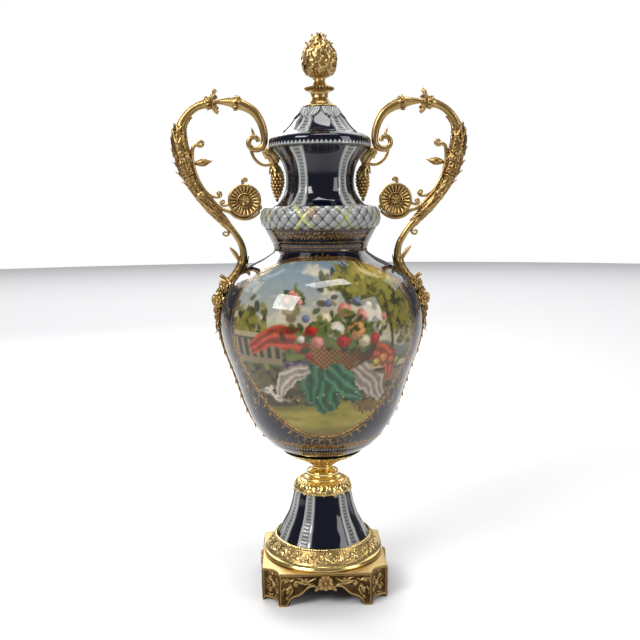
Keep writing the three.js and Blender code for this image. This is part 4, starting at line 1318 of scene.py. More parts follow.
def paint_foreground(canvas):
    """Green satin and grey-white linen over the ledge, stones and plants, and the meadow."""
    x, y = np.meshgrid(canvas.x, canvas.y)
    drift = noise(x * 10, y * 34, 12, 4)
    shore = 0.215 + 0.035 * np.sin(5 * x + 0.5) - 0.05 * smoothstep(0.2, 0.5, x)
    meadow = smoothstep(shore + 0.012, shore - 0.012, y + 0.02 * drift)
    canvas.wash(meadow, pigment(158, 152, 66))
    canvas.wash(meadow * smoothstep(0.0, 0.55, drift) * 0.7, pigment(184, 172, 88))
    canvas.wash(meadow * smoothstep(0.0, -0.5, drift) * 0.6, pigment(118, 116, 44))
    canvas.wash(meadow * smoothstep(0.085, 0.02, y) * 0.75, pigment(112, 92, 52))
    canvas.wash(meadow * window(shore - 0.03, shore + 0.02, 0.02, y) * 0.55, pigment(56, 50, 26))
    dark = [pigment(30, 26, 16), pigment(56, 50, 28), pigment(96, 88, 44)]
    canvas.foliage((-0.40, 0.33), (0.12, 0.06), 220, 0.018, dark, 51)
    canvas.foliage((0.42, 0.25), (0.12, 0.05), 170, 0.018, dark, 52)
    canvas.foliage((-0.10, 0.235), (0.30, 0.018), 170, 0.014, dark, 53)
    canvas.foliage((0.33, 0.19), (0.12, 0.025), 120, 0.014, [pigment(60, 44, 24), pigment(130, 104, 48)], 54)
    canvas.cloth([(0.20, 0.43), (0.24, 0.36), (0.33, 0.30), (0.40, 0.235)],
                 [0.05, 0.07, 0.075, 0.035], 5, pigment(110, 100, 98), pigment(224, 216, 204), 3)
    canvas.cloth([(-0.04, 0.425), (-0.06, 0.34), (0.0, 0.26), (0.03, 0.175)],
                 [0.08, 0.12, 0.13, 0.06], 6, pigment(8, 40, 32), pigment(70, 142, 104), 4)
    canvas.cloth([(0.02, 0.42), (0.10, 0.36), (0.15, 0.29), (0.22, 0.245)],
                 [0.05, 0.07, 0.06, 0.03], 4, pigment(10, 48, 38), pigment(92, 160, 122), 6)
    canvas.cloth([(-0.10, 0.42), (-0.20, 0.38), (-0.27, 0.31), (-0.30, 0.25)],
                 [0.035, 0.05, 0.05, 0.025], 4, pigment(118, 108, 104), pigment(226, 220, 210), 5)
    for a, b, way in ((-0.385, 0.275, 1), (-0.31, 0.235, -1)):
        white, grey = pigment(226, 222, 212), pigment(140, 136, 134)
        canvas.dab((a - 0.06 * way, b - 0.005), (0.04, 0.010), 8 * way, grey, 0.95)
        canvas.dab((a, b), (0.046, 0.027), 12 * way, grey)
        canvas.dab((a + 0.004 * way, b + 0.005), (0.040, 0.021), 12 * way, white)
        canvas.dab((a - 0.012 * way, b + 0.004), (0.032, 0.012), -6 * way, grey * 0.9, 0.7)
        canvas.dab((a + 0.040 * way, b + 0.026), (0.017, 0.016), 0, white)
        canvas.dab((a + 0.060 * way, b + 0.024), (0.008, 0.004), -10 * way, pigment(196, 130, 70))
        canvas.dab((a + 0.045 * way, b + 0.029), (0.0035, 0.0035), 0, pigment(30, 24, 20))
    for k in range(26):
        canvas.dab((-0.5 + 0.041 * k, 0.25 + 0.03 * math.sin(2.3 * k)), (0.006, 0.005), 0,
                   (pigment(232, 214, 150), pigment(222, 140, 120), pigment(226, 224, 216))[k % 3], 0.9)


# What an old yellow varnish lets through.
VARNISH = np.array([0.72, 0.66, 0.56])


def paint_picture(x, y):
    """The medallion's painting over columns x (-1 to 1) and rows y (0 to 1): a basket of roses
    and fruit on a garden ledge before trees and sky."""
    canvas = Canvas(x * PICTURE_ASPECT, y)
    paint_sky(canvas)
    paint_garden(canvas)
    paint_still_life(canvas)
    paint_foreground(canvas)
    grid = np.meshgrid(canvas.x, canvas.y)
    grain = 1 + 0.10 * noise(grid[0] * 70, grid[1] * 70, 61, 2)
    return np.clip(canvas.colour * grain[..., None] * VARNISH, 0, 1)


# ---------- neck and lid ----------

LAUREL_LEAVES, LID_TEETH, LID_RIM = 34, 76, 81.3
NECK_OUTLINE = [(84, 624), (69, 631), (56, 648), (52, 670), (55.5, 692), (63.5, 707), (74.9, 720)]
LID_OUTLINE = [(72, 740.6), (61, 743), (50, 752), (40, 765), (32, 776), (28.6, 781.2)]


def shape_neck():
    """Waisted neck: a laurel ring of overlapping leaves below, six ribs above, hollow throughout."""
    low, high = span("neck")
    base, top = low[2], high[2]
    core, rise, bulge = 84.0, 18.0, 12.0
    section = np.radians(np.linspace(-74, 74, 36))
    laurel = np.stack([core + bulge * np.cos(section), base + rise - 0.6 + (rise - 0.4) * np.sin(section)], 1)
    outer = through(NECK_OUTLINE, 1.8)
    outer = outer[outer[:, 1] > laurel[-1, 1] + 0.4]
    inner = inner_wall(through(NECK_OUTLINE[1:], 6.0), 5.0)
    profile = np.vstack([[(80, base)], laurel, outer, [(top_r, top) for top_r in (74.4, 70.2)], inner,
                         [(78, base + 8), (78, base)]])
    count = 468
    angles = round_angles(count)
    rows = len(profile)
    z = np.broadcast_to(profile[:, 1:], (rows, count))
    number = np.arange(rows)[:, None]
    on_laurel = (number >= 1) & (number <= len(laurel))
    on_wall = (number > len(laurel)) & (number <= len(laurel) + len(outer))
    flare = smoothstep(660, 630, z) * 2.2 + smoothstep(695, 718, z) * 0.8
    q = np.broadcast_to(rib_places(angles, NECK_RIBS, NECK_TURN), z.shape) / (8.4 + flare)
    tint, gilding = porcelain_paint(z.shape)
    relief, ribbed_tint = ribbed(tint, q, z, 2.3)
    relief = relief * on_wall * smoothstep(top, top - 2, z)
    up = np.clip((number - 1) / (len(laurel) - 1), 0, 1) * 4.4
    around = angles * LAUREL_LEAVES / TAU
    first, second = (around + up / 2) % 1, (around - up / 2) % 1
    pillow = (np.sin(math.pi * first) * np.sin(math.pi * second)) ** 0.45
    seam = smoothstep(0.6, 0.2, pillow)
    overlap = 0.5 + 0.5 * np.cos(math.pi * second)
    veins = 0.5 + 0.5 * np.cos(TAU * 3 * (first - second))
    relief = relief + on_laurel * (2.0 * pillow * (0.6 + 0.4 * overlap) - 0.7 + 0.12 * veins * pillow)
    white, ink_and_shade = white_and_ink_and_shade()
    # The leaves' tint paints shade into the seams between the leaves and where each leaf tucks under the
    # next, over drawn veins.
    leaf_tint = blended(np.broadcast_to(white, (*z.shape, 3)), ink_and_shade,
                        np.clip(seam * 0.9 + 0.14 * veins + 0.3 * (1 - overlap), 0, 1))
    ribbon = laurel_ribbon(angles, up * 3 / 4.4)
    leaf_tint = blended(leaf_tint, settings().ribbon_gold[:], 0.85 * ribbon)
    from_stain = np.degrees((angles + math.pi) % TAU - math.pi) + 9
    rust = np.exp(-(from_stain / 5) ** 2) * window(2.0, 4.1, 0.4, up)
    leaf_tint = blended(leaf_tint, (0.42, 0.16, 0.06), 0.5 * rust * (1 - seam))
    tint = np.where(on_laurel[..., None], leaf_tint, np.where(on_wall[..., None], ribbed_tint, white))
    return [sheet(turned(profile, angles, relief), wrap_rows=True, tint=tint, gilding=gilding)]


def laurel_ribbon(angles, up):
    """Crossed ribbons of yellow-green gold round the laurel ring, each crossing at a strength of its own."""
    total = 0.0
    for middle, strength in [(-18, 1.0), (22, 0.45), (62, 0.35), (102, 0.5), (142, 0.8),
                             (-178, 0.5), (-138, 0.6),
                             (-98, 0.5), (-58, 0.3)]:
        away = np.degrees((angles - math.radians(middle) + math.pi) % TAU - math.pi) / 13.8
        for way in (-1, 1):
            line = np.abs(away - way * (up - 1.5) / 2)
            total = total + strength * smoothstep(0.13, 0.05, line) * (np.abs(away) < 1)
    return np.clip(total, 0, 1)


def shape_lid():
    """Hollow lid: six ribs from a ring of leaves down to a flange with a zigzag border."""
    low, high = span("lid")
    base, top, rim = low[2], high[2], LID_RIM
    flange = chain([(74, base), (rim - 0.8, base), (rim, base + 1.0), (rim, base + 8.5),
                    (rim - 0.2, base + 11.5),
                    (rim - 1.6, base + 14.6), (rim - 4.5, base + 16.8), (rim - 9, base + 19)], 1.0, 0.7)
    cone = through(LID_OUTLINE, 1.4)[3:]
    profile = np.vstack([[(0, top - 7), (23, top - 8), (45, 746), (62, base + 16), (70, base + 2)],
                         flange, cone,
                         [(28, top), (0, top)]])
    count = 456
    angles = round_angles(count)
    z = np.broadcast_to(profile[:, 1:], (len(profile), count))
    number = np.arange(len(profile))[:, None]
    on_flange = (number >= 5) & (number < 5 + len(flange))
    on_cone = (number >= 5 + len(flange)) & (number < 5 + len(flange) + len(cone))
    tint, gilding = porcelain_paint(z.shape)
    away = np.broadcast_to(rib_places(angles, LID_RIBS, LID_TURN), z.shape)
    relief, ribbed_tint = ribbed(tint, away / 10.5, z, 1.8)
    relief = relief * on_cone * smoothstep(742.5, 745, z)
    white, ink_and_shade = white_and_ink_and_shade()
    leaf_q = np.abs(away) / 30
    drop = 762.5 + 13 * leaf_q ** 2.2 + 1.5 * np.abs(np.sin(away * math.pi / 7.5))
    on_leaf = smoothstep(drop - 0.8, drop + 0.8, z) * smoothstep(1.0, 0.96, leaf_q) * on_cone
    veins = 0.5 + 0.5 * np.cos(TAU * (leaf_q * 4.2 - (z - 760) / 11))
    # Darker between the raised veins, along the leaf's sunken edges and down its middle: drawn vein lines
    # together with painted shade in these hollows.
    leaf_ink_and_shade = np.clip(0.75 * (1 - veins) ** 2 + smoothstep(2.2, 0.4, z - drop) * 0.6
                       + smoothstep(0.9, 0.97, leaf_q) * 0.6
                       + 0.5 * smoothstep(0.05, 0.01, leaf_q), 0, 1)
    leaf_tint = white * (1 - leaf_ink_and_shade[..., None]) + ink_and_shade * leaf_ink_and_shade[..., None]
    relief = relief * (1 - on_leaf) + on_leaf * (2.2 + 0.5 * veins - 1.2 * smoothstep(0.85, 1, leaf_q))
    tint = np.where(on_cone[..., None], ribbed_tint, tint)
    tint = tint * (1 - on_leaf[..., None]) + leaf_tint * on_leaf[..., None]
    tooth = np.abs(tiled(angles * LID_TEETH / TAU, 1.0)) * 2
    edge = base + 2.6 + 4.4 * (1 - tooth)
    zigzag = smoothstep(edge + 0.35, edge - 0.35, z) * on_flange * (profile[:, :1] > rim - 3)
    hole = smoothstep(0.9, 0.5, np.hypot((tiled(angles * LID_TEETH / TAU + 0.5, 1.0)) * 6.7, z - base - 2.6))
    tint = blended(tint, white, zigzag * (1 - 0.8 * hole))
    tint = blended(tint, ink_and_shade * 0.8, window(base, base + 1.6, 0.3, z) * on_flange)
    inside = ~(on_flange | on_cone) & (number < 5 + len(flange))
    tint = np.where(inside[..., None], white, tint)
    relief = relief + on_flange * 0.35 * zigzag
    return [sheet(turned(profile, angles, relief), tint=tint, gilding=gilding)]


# ---------- handles ----------

VOLUTE_CENTRE, VOLUTE_RADIUS = (103.5, 731), 15.5
ROSETTE_CENTRE, ROSETTE_RADIUS = (121.5, 639), 26.8
SCROLL_ROUTE = [(90, 752), (103, 776.5), (128, 790), (160, 793), (195, 785), (216, 764), (222, 738),
                (217, 705), (203, 664), (176, 628.5), (143, 593.5), (127, 566), (125.5, 541),
                (138, 516), (150, 505)]
# Radius of the main bar at distances from where its volute ends.
SCROLL_RADII = [(-200, 3.4), (-85, 3.4), (-40, 4.0), (0, 5.3), (45, 6.9), (70, 8.0), (80, 8.8),
                (83.5, 11.0), (86, 10.4), (89, 8.8), (97, 7.2), (105, 5.4), (113, 3.8), (121, 3.8),
                (124.5, 7.6), (128, 9.2), (134, 9.0), (138, 7.0), (150, 6.3), (178, 6.5), (196, 8.2),
                (206, 10.0), (222, 12.0), (229, 12.6), (231, 14.0), (235, 14.0), (237.5, 11.8),
                (250, 12.6), (266, 11.0), (278, 8.4), (290, 7.8), (301, 8.2), (302.5, 9.4), (306, 9.4),
                (308, 8.2), (330, 8.3), (350, 7.6), (367, 5.7), (380, 5.3), (410, 5.4), (428, 6.0),
                (440, 6.8), (458, 8.6), (480, 9.0), (520, 7.0)]


def upright(points):
    """Points of the handle's plane, (distance from the axis, height), as points in space."""
    points = np.asarray(points, float)
    return np.stack([points[:, 0], 0 * points[:, 0], points[:, 1]], 1)


def scroll_path():
    """The main bar's middle line and the distance along it, counted from where the volute ends."""
    volute = spiral(VOLUTE_CENTRE, VOLUTE_RADIUS, 180, 1, 0.78, 24)[::-1]
    coil = upright(through(np.vstack([volute[::3], SCROLL_ROUTE]), 1.5))
    eye = distance_along(upright(through(volute[::3], 0.9)))[-1]
    return coil, distance_along(coil) - eye


def scroll_point(path, along, distance):
    """The point of the bar's middle line at a distance, and its tangent there."""
    point = np.array([np.interp(distance, along, path[:, k]) for k in range(3)])
    ahead = np.array([np.interp(distance + 1, along, path[:, k]) for k in range(3)])
    return point, (ahead - point) / np.linalg.norm(ahead - point)


def shape_scroll():
    """The main bar: a turned section whose radius follows the casting's horn, cuff, collar, leafy
    sheaths, knot and smooth tail, with relief for each stretch."""
    path, along = scroll_path()
    radius = np.interp(along, *np.array(SCROLL_RADII).T)
    sides = 26
    angle = np.arange(sides) * TAU / sides
    s = along[:, None]
    sheath = window(192, 230, 4, s)
    one_way, other_way = (s / 9.0 + 3 * angle / TAU) % 1, (s / 9.0 - 3 * angle / TAU) % 1
    scales = np.sin(math.pi * one_way) * np.sin(math.pi * other_way)
    berries = window(237, 279, 3, s)
    knobs = np.abs(np.sin(math.pi * s / 5.2) * np.sin(5 * angle + math.pi * np.floor(s / 5.2) / 2)) ** 0.6
    carved = window(279, 366, 5, s) * (1 - window(301, 307, 1, s))
    scrolls = 0.5 + 0.5 * np.cos(TAU * s / 13 + 3 * np.sin(2 * angle)) * np.cos(3 * angle + s / 9)
    tail = window(428, 600, 5, s)
    leafy = 0.5 + 0.5 * np.cos(5 * angle + np.sin(TAU * s / 12))
    cuff = window(78, 90, 1.5, s) * np.cos(9 * angle)
    line = window(4, 76, 5, s) + window(140, 186, 5, s)
    grooves = line * -0.35 * np.exp(-((angle - math.pi * 1.5) / 0.16) ** 2)
    relief = (sheath * 1.1 * (scales - 0.4) + berries * 1.9 * (knobs - 0.35) + carved * 1.3 * (scrolls - 0.5)
              + tail * 1.2 * (leafy - 0.5) + 0.5 * cuff + grooves)
    plain = 1 - np.clip(sheath + berries + carved + tail, 0, 1)
    # Painted shade in the grooves and in the hollows of the scales, berries, carving and leafy tail, lighter
    # on their high parts.
    shade = np.clip(plain * (0.68 + 0.4 * grooves + 0.15 * cuff) + sheath * (0.1 + 0.6 * scales)
                    + berries * (0.0 + 0.75 * knobs) + carved * (0.12 + 0.62 * scrolls)
                    + tail * (0.15 + 0.5 * leafy), 0, 1)
    return sheet(swept(path, radius, None, relief, sides), relief=capped(shade))


def thin_branch(points, radius, ends=(0.9, 0.45), sides=8, bead=1.35):
    """A slender round rod along a route in the handle's plane, thinning to its end, which closes
    in a small ball."""
    path = upright(through(points, 1.6))
    share = np.linspace(0, 1, len(path))
    swell = ends[0] + (1 - ends[0]) * np.sin(math.pi * share) ** 0.5
    size = radius * swell * (1 - (1 - ends[1]) * share ** 2)
    rod = sheet(swept(path, size, sides=sides), relief=np.full((len(path) + 2, sides), 0.72))
    return [rod] + blobs(path[-1], radius * ends[1] * bead, 6, 8)


def leaf_on(path, along, distance, length, width, turn, flare, lobes=3, thick=0.9, lean=0.0):
    """A leaf that lies on the bar: its foot is `distance` along, it runs `length` further (or back
    when negative) at the angle `turn` round the bar, just clear of its surface, and its tip
    stands out by `flare`."""
    share = np.linspace(0, 1, 11)
    where = distance + length * share
    middle = np.stack([np.interp(where, along, path[:, k]) for k in range(3)], 1)
    _, side, face = frames(middle, (0, 1, 0))
    swing = math.radians(turn) + math.radians(lean) * share
    out = side * np.cos(swing)[:, None] + face * np.sin(swing)[:, None]
    rise = np.interp(where, *np.array(SCROLL_RADII).T) + 0.5 + flare * share ** 2.4
    return leaf(middle + out * rise[:, None], width, lobes, thick, -0.22 * width, out, 0.6, 8)


def shape_collars():
    """Leaves and points that stand on the main bar."""
    path, along = scroll_path()
    sheets = []
    point, tangent = scroll_point(path, along, 118.5)
    for turn in range(0, 360, 45):
        face = np.array([0, 1.0, 0])
        side = np.cross(face, tangent)
        out = side * math.cos(math.radians(turn)) + face * math.sin(math.radians(turn))
        reach = {0: 17.0, 180: 19.0}.get(turn, 13.5)
        line = np.stack([point + out * r + tangent * t for r, t in
                         [(1.5, 1.6), (reach * 0.4, 3.6), (reach * 0.75, 2.0), (reach, -3.0)]])
        sheets.append(leaf(through(line, 1.6), 5.0, 1, 3.4, 0.4, tangent, 0.6, 10))
    sheets += blobs([point + tangent * 2.0], 5.2, 8, 12)
    sheets += [leaf_on(path, along, 80, 9, 4.4, turn + 5, 2.2, 1) for turn in range(0, 360, 45)]
    sheets += [leaf_on(path, along, 124, 10, 4.0, turn, 1.4, 1) for turn in range(0, 360, 60)]
    for row, foot in enumerate([233, 222, 211]):
        for k in range(6):
            turn = 60 * k + 30 * (row % 2)
            out = 4.6 if turn % 360 in (0, 30, 330) else 2.4
            sheets.append(leaf_on(path, along, foot, -27 + 2 * row, 8.2, turn, out, 4, 1.1, 10))
    for turn in range(0, 360, 45):
        sheets.append(leaf_on(path, along, 233, 16, 5.4, turn + 20, 2.6, 2))
        sheets.append(leaf_on(path, along, 300, -17, 4.4, turn, 1.0, 2))
        sheets.append(leaf_on(path, along, 248, 18, 4.6, turn, 1.6, 3))
    for turn in (0, 72, 144, 216, 288):
        sheets.append(leaf_on(path, along, 478, -42, 7.4, turn, 2.4, 4))
        sheets.append(leaf_on(path, along, 455, -30, 5.4, turn + 36, 2.0, 3))
        sheets.append(leaf_on(path, along, 306, 40, 5.4, turn + 30, 0.6, 4, 0.8, 50))
        sheets.append(leaf_on(path, along, 330, 38, 4.6, turn, 0.8, 4, 0.8, 40))
    for distance, turn, reach in [(206, 0, 4.5), (232, 0, 4), (252, 0, 5.5), (268, 0, 5.5), (284, 0, 4),
                                  (262, 180, 3)]:
        sheets.append(leaf_on(path, along, distance + 2, -13, 4.0, turn, reach, 2, 1.3))
    crest = []
    for distance in np.arange(168, 190, 3.6):
        middle, tangent = scroll_point(path, along, distance)
        out = np.cross((0, 1, 0), tangent)
        crest += [middle + out * 7.2 + (0, y, 0) for y in (-2.0, 2.0)]
    sheets += blobs(crest, 2.2, 6, 8)
    return sheets


def shape_rosette():
    """The handle's round flower, alike in front and behind: a fluted bowl inside a rim, with a
    ring and an inner flower. The bowl's level falls from the rim to the ring."""
    share = np.linspace(0, 1, 27)
    radius = ROSETTE_RADIUS * share
    angle = round_angles(132)
    flutes = window(12.2, 22.6, 0.8, radius)[:, None]
    wave = np.abs(np.cos(11 * angle)) ** 0.8
    inner = window(2.6, 8.6, 0.5, radius)[:, None] * np.abs(np.cos(3 * angle)) ** 0.7
    level = np.interp(radius, [0, 2.0, 3.0, 8.2, 9.0, 10.2, 11.6, 12.4, 16, 21.8, 23.2, 25.4, 26.5, 26.8],
                      [4.4, 4.0, 2.0, 3.2, 1.6, 3.9, 3.4, 1.2, 1.6, 4.0, 5.2, 5.0, 3.0, 0.0])[:, None]
    lift = flutes * 1.9 * (wave - 0.6) + inner * 1.0
    # Painted highlight on the rim, the flute crests, the ring, the inner flower and the eye, with painted
    # shade in the fluted bowl.
    shade = np.clip(0.12 + 0.6 * flutes * wave + 0.62 * (radius[:, None] > 22.8) + 0.5 * inner
                    + 0.6 * window(9.4, 11.8, 0.4, radius)[:, None] + 0.5 * (radius[:, None] < 2.5), 0, 0.92)
    height = level + lift
    height[-1] = 0
    z = np.concatenate([-height[:-1], height[::-1]])
    reach = np.concatenate([radius[:-1], radius[::-1]])[:, None]
    points = np.stack([reach * np.sin(angle), -reach * np.cos(angle), z + 0 * angle], -1)
    shade = np.concatenate([shade[:-1], shade[::-1]])
    u, height = ROSETTE_CENTRE
    return sheet(aimed(points, (u, 0, height), (0, -1, 0)), relief=shade)


def shape_tendrils():
    """The thin stem beside the bar, the branch round the rosette, and their curled ends."""
    sheets = []
    u, height = ROSETTE_CENTRE
    under = [(u + 29.4 * math.cos(math.radians(a)), height + 29.4 * math.sin(math.radians(a)))
             for a in range(320, 219, -20)]
    routes = [
        (np.vstack([spiral((189.4, 729.6), 5.6, 330, -0.95, 0.78, 10)[::-1],
                    [(200.5, 724), (203, 712), (202, 698), (198, 682), (190, 664), (178, 649), (168, 644.5)],
                    spiral((162.5, 650.2), 5.4, 250, -0.95, 0.72, 10)]),
         3.3, (0.8, 0.55)),
        (np.vstack([[(187, 655), (174, 641), (160, 627)], under,
                    spiral((97.0, 627.6), 4.8, 300, 0.85, 0.72, 10)]),
         3.2, (0.9, 0.6)),
        (np.vstack([[(124, 662), (123.6, 667.4)], spiral((119.6, 670.6), 4.6, 350, 0.95, 0.72, 10)]),
         2.5, (0.9, 0.6)),
        (np.vstack([[(146, 634), (151, 631.4)], spiral((155.6, 636.6), 5.2, 270, 0.95, 0.72, 10)]),
         2.5, (0.9, 0.6)),
        (np.vstack([[(165, 611), (157, 600.5), (150.2, 594.5)],
                    spiral((153.6, 587.4), 6.4, 150, 0.95, 0.72, 10)]), 2.7, (0.9, 0.5)),
    ]
    for points, radius, ends in routes:
        sheets += thin_branch(points, radius, ends)
    bud_path = upright(through([(199, 697), (194, 698.4), (184, 699.4), (176, 700.6), (170.5, 702)], 1.2))
    size = np.interp(np.linspace(0, 1, len(bud_path)), [0, 0.15, 0.35, 0.55, 0.75, 0.88, 1],
                     [2.0, 4.4, 6.3, 6.3, 3.4, 1.4, 0.3])
    sheets.append(sheet(swept(bud_path, size, sides=16), relief=np.full((len(bud_path) + 2, 16), 0.5)))
    for route, width in (([(147, 564.5), (139, 555), (133.5, 546), (131, 534)], 4.0),
                         ([(104, 738), (105.5, 745), (108, 753)], 2.6)):
        sheets.append(leaf(upright(through(route, 1.4)), width, 1, 2.0, 0, (0, -1, 0), 0.4, 10))
    return sheets


def shape_bracket():
    """Bracket to the neck: a rod and a folded leaf over a cluster of small leaves and grapes."""
    sheets = thin_branch([(110, 722), (107, 710), (101, 701), (93, 695.5), (84, 694.4), (78, 696)],
                         2.7, (0.9, 0.9))
    sheets += thin_branch([(94, 727), (90, 720), (85, 713), (80, 706), (76, 696), (71, 684)], 3.4,
                          (0.8, 0.8), 12)
    fold = through([(88, 719), (80, 716), (72, 707), (67, 696)], 1.4)
    for way in (-1, 1):
        path = np.stack([fold[:, 0], way * 3.2 * np.ones(len(fold)), fold[:, 1]], 1)
        sheets.append(leaf(path, 10.0, 2, 2.2, -1.5, (0.25, way, 0.3), 0.25, 14))
        low = path + (4, 0, -4)
        sheets.append(leaf(low, 8.4, 2, 2.0, -1.2, (0.1, way, 0.1), 0.25, 14))
    for k in range(14):
        angle = TAU * k / 7 + (0.45 if k > 6 else 0)
        out = np.array([math.sin(angle), -math.cos(angle), 0])
        foot = np.array([74 - (k > 6) * 3, 0, 699 - (k > 6) * 7])
        line = np.stack([foot, foot + out * 5 + (-1, 0, -4), foot + out * 9 + (-3, 0, -11),
                         foot + out * 11.5 + (-4, 0, -19)])
        line[:, 1] = np.clip(line[:, 1], -14, 14)
        line[:, 0] = np.maximum(line[:, 0], 60.0)
        sheets.append(leaf(through(line, 1.5), 6.2, 3, 0.9, -0.8, out + (0, 0, 0.4), 0.6, 10))
    centres, radii = [], []
    for row in range(9):
        share = row / 8
        z = 682 - 41 * share
        reach = np.interp(share, [0, 0.25, 0.5, 0.8, 1.0], [6.6, 8.8, 8.0, 4.8, 1.6])
        middle = np.interp(share, [0, 1], [67.6, 69.0])
        count = max(1, int(round(TAU * reach / 5.4)))
        for k in range(count):
            angle = TAU * (k + 0.5 * (row % 2)) / count
            centres.append((middle + reach * math.sin(angle), -reach * math.cos(angle), z))
            radii.append(3.15)
    sheets += blobs(centres, radii, 6, 8)
    sheets += blobs([(68, 0, z) for z in (680, 674, 668, 662, 656, 650)], 6.0, 6, 8)
    sheets += blobs([(69, 0, 638.4)], 2.4, 7, 10)
    return sheets


def blossom(place, direction, radius, petals, roll=0.0):
    """An open flower: two rings of cupped petals round a knot of small beads."""
    sheets = []
    facing = aimed(np.array([[0, 0, 1.0]]), (0, 0, 0), direction)[0]
    for reach, rise, start in ((1.0, 0.0, 0), (0.68, 0.26, 180 / petals)):
        for k in range(petals):
            angle = math.radians(360 * k / petals + start + roll)
            out = np.array([math.cos(angle), math.sin(angle), 0])
            line = np.stack([out * 0.06 + (0, 0, rise * 0.6), out * 0.4 * reach + (0, 0, 0.12 + rise),
                             out * 0.8 * reach + (0, 0, 0.16 + rise),
                             out * reach + (0, 0, 0.02 + rise)]) * radius
            path = aimed(through(line, radius * 0.2), place, direction)
            sheets.append(petal(path, radius * 0.52 * reach, facing, 0.12 * radius))
    heart = aimed(np.array([[0, 0, 0.40]] + [[0.15 * math.cos(a), 0.15 * math.sin(a), 0.34]
                  for a in round_angles(5)]) * radius, place, direction)
    return sheets + blobs(heart, 0.12 * radius, 5, 6)


def petal(path, width, facing, cup):
    """A rounded petal, broadest near its end, with a creased middle and fine ribs."""
    s = np.linspace(0, 1, len(path))
    half = np.maximum(width * np.sin(math.pi * np.clip(0.12 + 0.86 * s ** 1.4, 0, 1)) ** 0.6, 0.3)
    sides = 8
    angle = np.arange(sides) * TAU / sides
    crease = np.exp(-(np.cos(angle) / 0.3) ** 2) * np.clip(np.sin(angle), 0, 1)
    relief = np.broadcast_to(-0.4 * crease, (len(path), sides))
    # Painted shade in the crease and towards the petal's foot in the flower's heart.
    shade = capped((0.9 - 0.6 * crease) * (0.25 + 0.75 * s[:, None]))
    return sheet(swept(path, half, np.full(len(path), 0.8), relief, sides, facing, cup), relief=shade)


def beside(z, y, lift):
    """A point that stands `lift` off the vase's side at a height and a depth."""
    radius = body_radius(z) + lift
    return math.sqrt(max(radius ** 2 - y ** 2, 1.0)), y, z


def shape_spray():
    """Flowers on the side of the vase over a leafy stem that follows it down to a bead."""
    sheets = []
    path = np.array([beside(z, 0, 2.2) for z in np.linspace(505, 256, 130)])
    size = np.interp(path[:, 2], [256, 270, 350, 410, 505], [1.3, 1.6, 2.0, 3.0, 4.0])
    sheets.append(sheet(swept(path, size, sides=8), relief=np.full((len(path) + 2, 8), 0.6)))
    sheets += blobs([beside(252.5, 0, 2.6)], 3.4, 8, 12)
    for k in range(15):
        z = 452 - 12.4 * k
        reach = 17 - 0.65 * k
        for way in (-1, 1):
            points = [beside(z - reach * t * 0.95, way * reach * (0.58 * t - 0.12 * t ** 3),
                             2.0 + 1.8 * t ** 2)
                      for t in (0, 0.35, 0.7, 1.0)]
            sheets.append(leaf(through(points, 2.0), 4.4 - 0.15 * k, 3, 0.9, -0.5,
                               (1, way * 0.15, 0), 0.6, 8))
        if k % 2 == 0:
            line = [beside(z - 13 * t, 0, 2.5 + 4.5 * t ** 1.5) for t in (0, 0.4, 0.75, 1.0)]
            sheets.append(leaf(through(line, 2.0), 3.6, 3, 1.0, -0.5, (1, 0, 0.3), 0.6, 8))
    # Each flower: height, depth, lift off the vase, the way it faces and its radius.
    flowers = [(503, 0, 8, (1, 0, 0.35), 12.0), (504, -8, 6, (0.5, -1, 0.3), 11.0),
               (504, 8, 6, (0.5, 1, 0.3), 11.0),
               (479, 0, 9, (1, 0, 0.0), 12.0), (480, -9, 7, (0.5, -1, 0.05), 11.5),
               (480, 9, 7, (0.5, 1, 0.05), 11.5),
               (491, -7, 8, (0.8, -0.7, 0.2), 9.0), (491, 7, 8, (0.8, 0.7, 0.2), 9.0),
               (463, -5, 6, (0.8, -0.8, -0.1), 7.5), (463, 5, 6, (0.8, 0.8, -0.1), 7.5),
               (452, -3, 5, (0.7, -0.9, 0), 5.5), (452, 3, 5, (0.7, 0.9, 0), 5.5),
               (442, 0, 5, (0.8, -0.4, 0), 4.6)]
    for k, (z, y, lift, facing, radius) in enumerate(flowers):
        sheets += blossom(beside(z, y, lift), facing, radius, 6 if radius > 8 else 5, 23 * k)
    leaves = [((150, 3, 509), (156, 6, 515), (163, 9, 520)), ((150, -3, 509), (156, -7, 515), (164, -9, 519)),
              ((166, 5, 452), (170, 9, 442), (170, 11, 431)),
              ((166, -5, 452), (170, -9, 442), (170, -11, 431)),
              ((163, 0, 436), (168, 0, 431), (173.5, 0, 425))]
    for line in leaves:
        sheets.append(leaf(through(line, 1.6), 4.2, 2, 1.1, -0.6, (1, line[2][1] * 0.06, 0.3), 0.6, 8))
    return sheets


def shape_handle():
    """Everything cast on the right handle."""
    return ([shape_scroll(), shape_rosette()] + shape_collars() + shape_tendrils() + shape_bracket()
            + shape_spray())


# ---------- the stage ----------

CAMERA_DISTANCE, CAMERA_HEIGHT = 1.32, 0.618
CAMERA_AZIMUTH, CAMERA_PITCH, CAMERA_ROLL, CAMERA_YAW = -2.0, 7.5, -0.5, 0.09
CAMERA_LENS = 45.7
FLOOR_RADIUS = 9.0


def soft_light(name, place, target, size, power, colour=(1, 1, 1)):
    """A square studio light at a place, facing the target."""
    data = bpy.data.lights.new(name, "AREA")
    data.shape = "RECTANGLE"
    data.size, data.size_y = size
    data.energy = power
    data.color = colour
    light = bpy.data.objects.new(name, data)
    light.location = place
    away = np.array(place) - np.array(target)
    yaw = math.atan2(away[0], -away[1])
    pitch = math.acos(away[2] / np.linalg.norm(away))
    light.rotation_euler = (pitch, 0, yaw)
    bpy.context.scene.collection.objects.link(light)
    return light


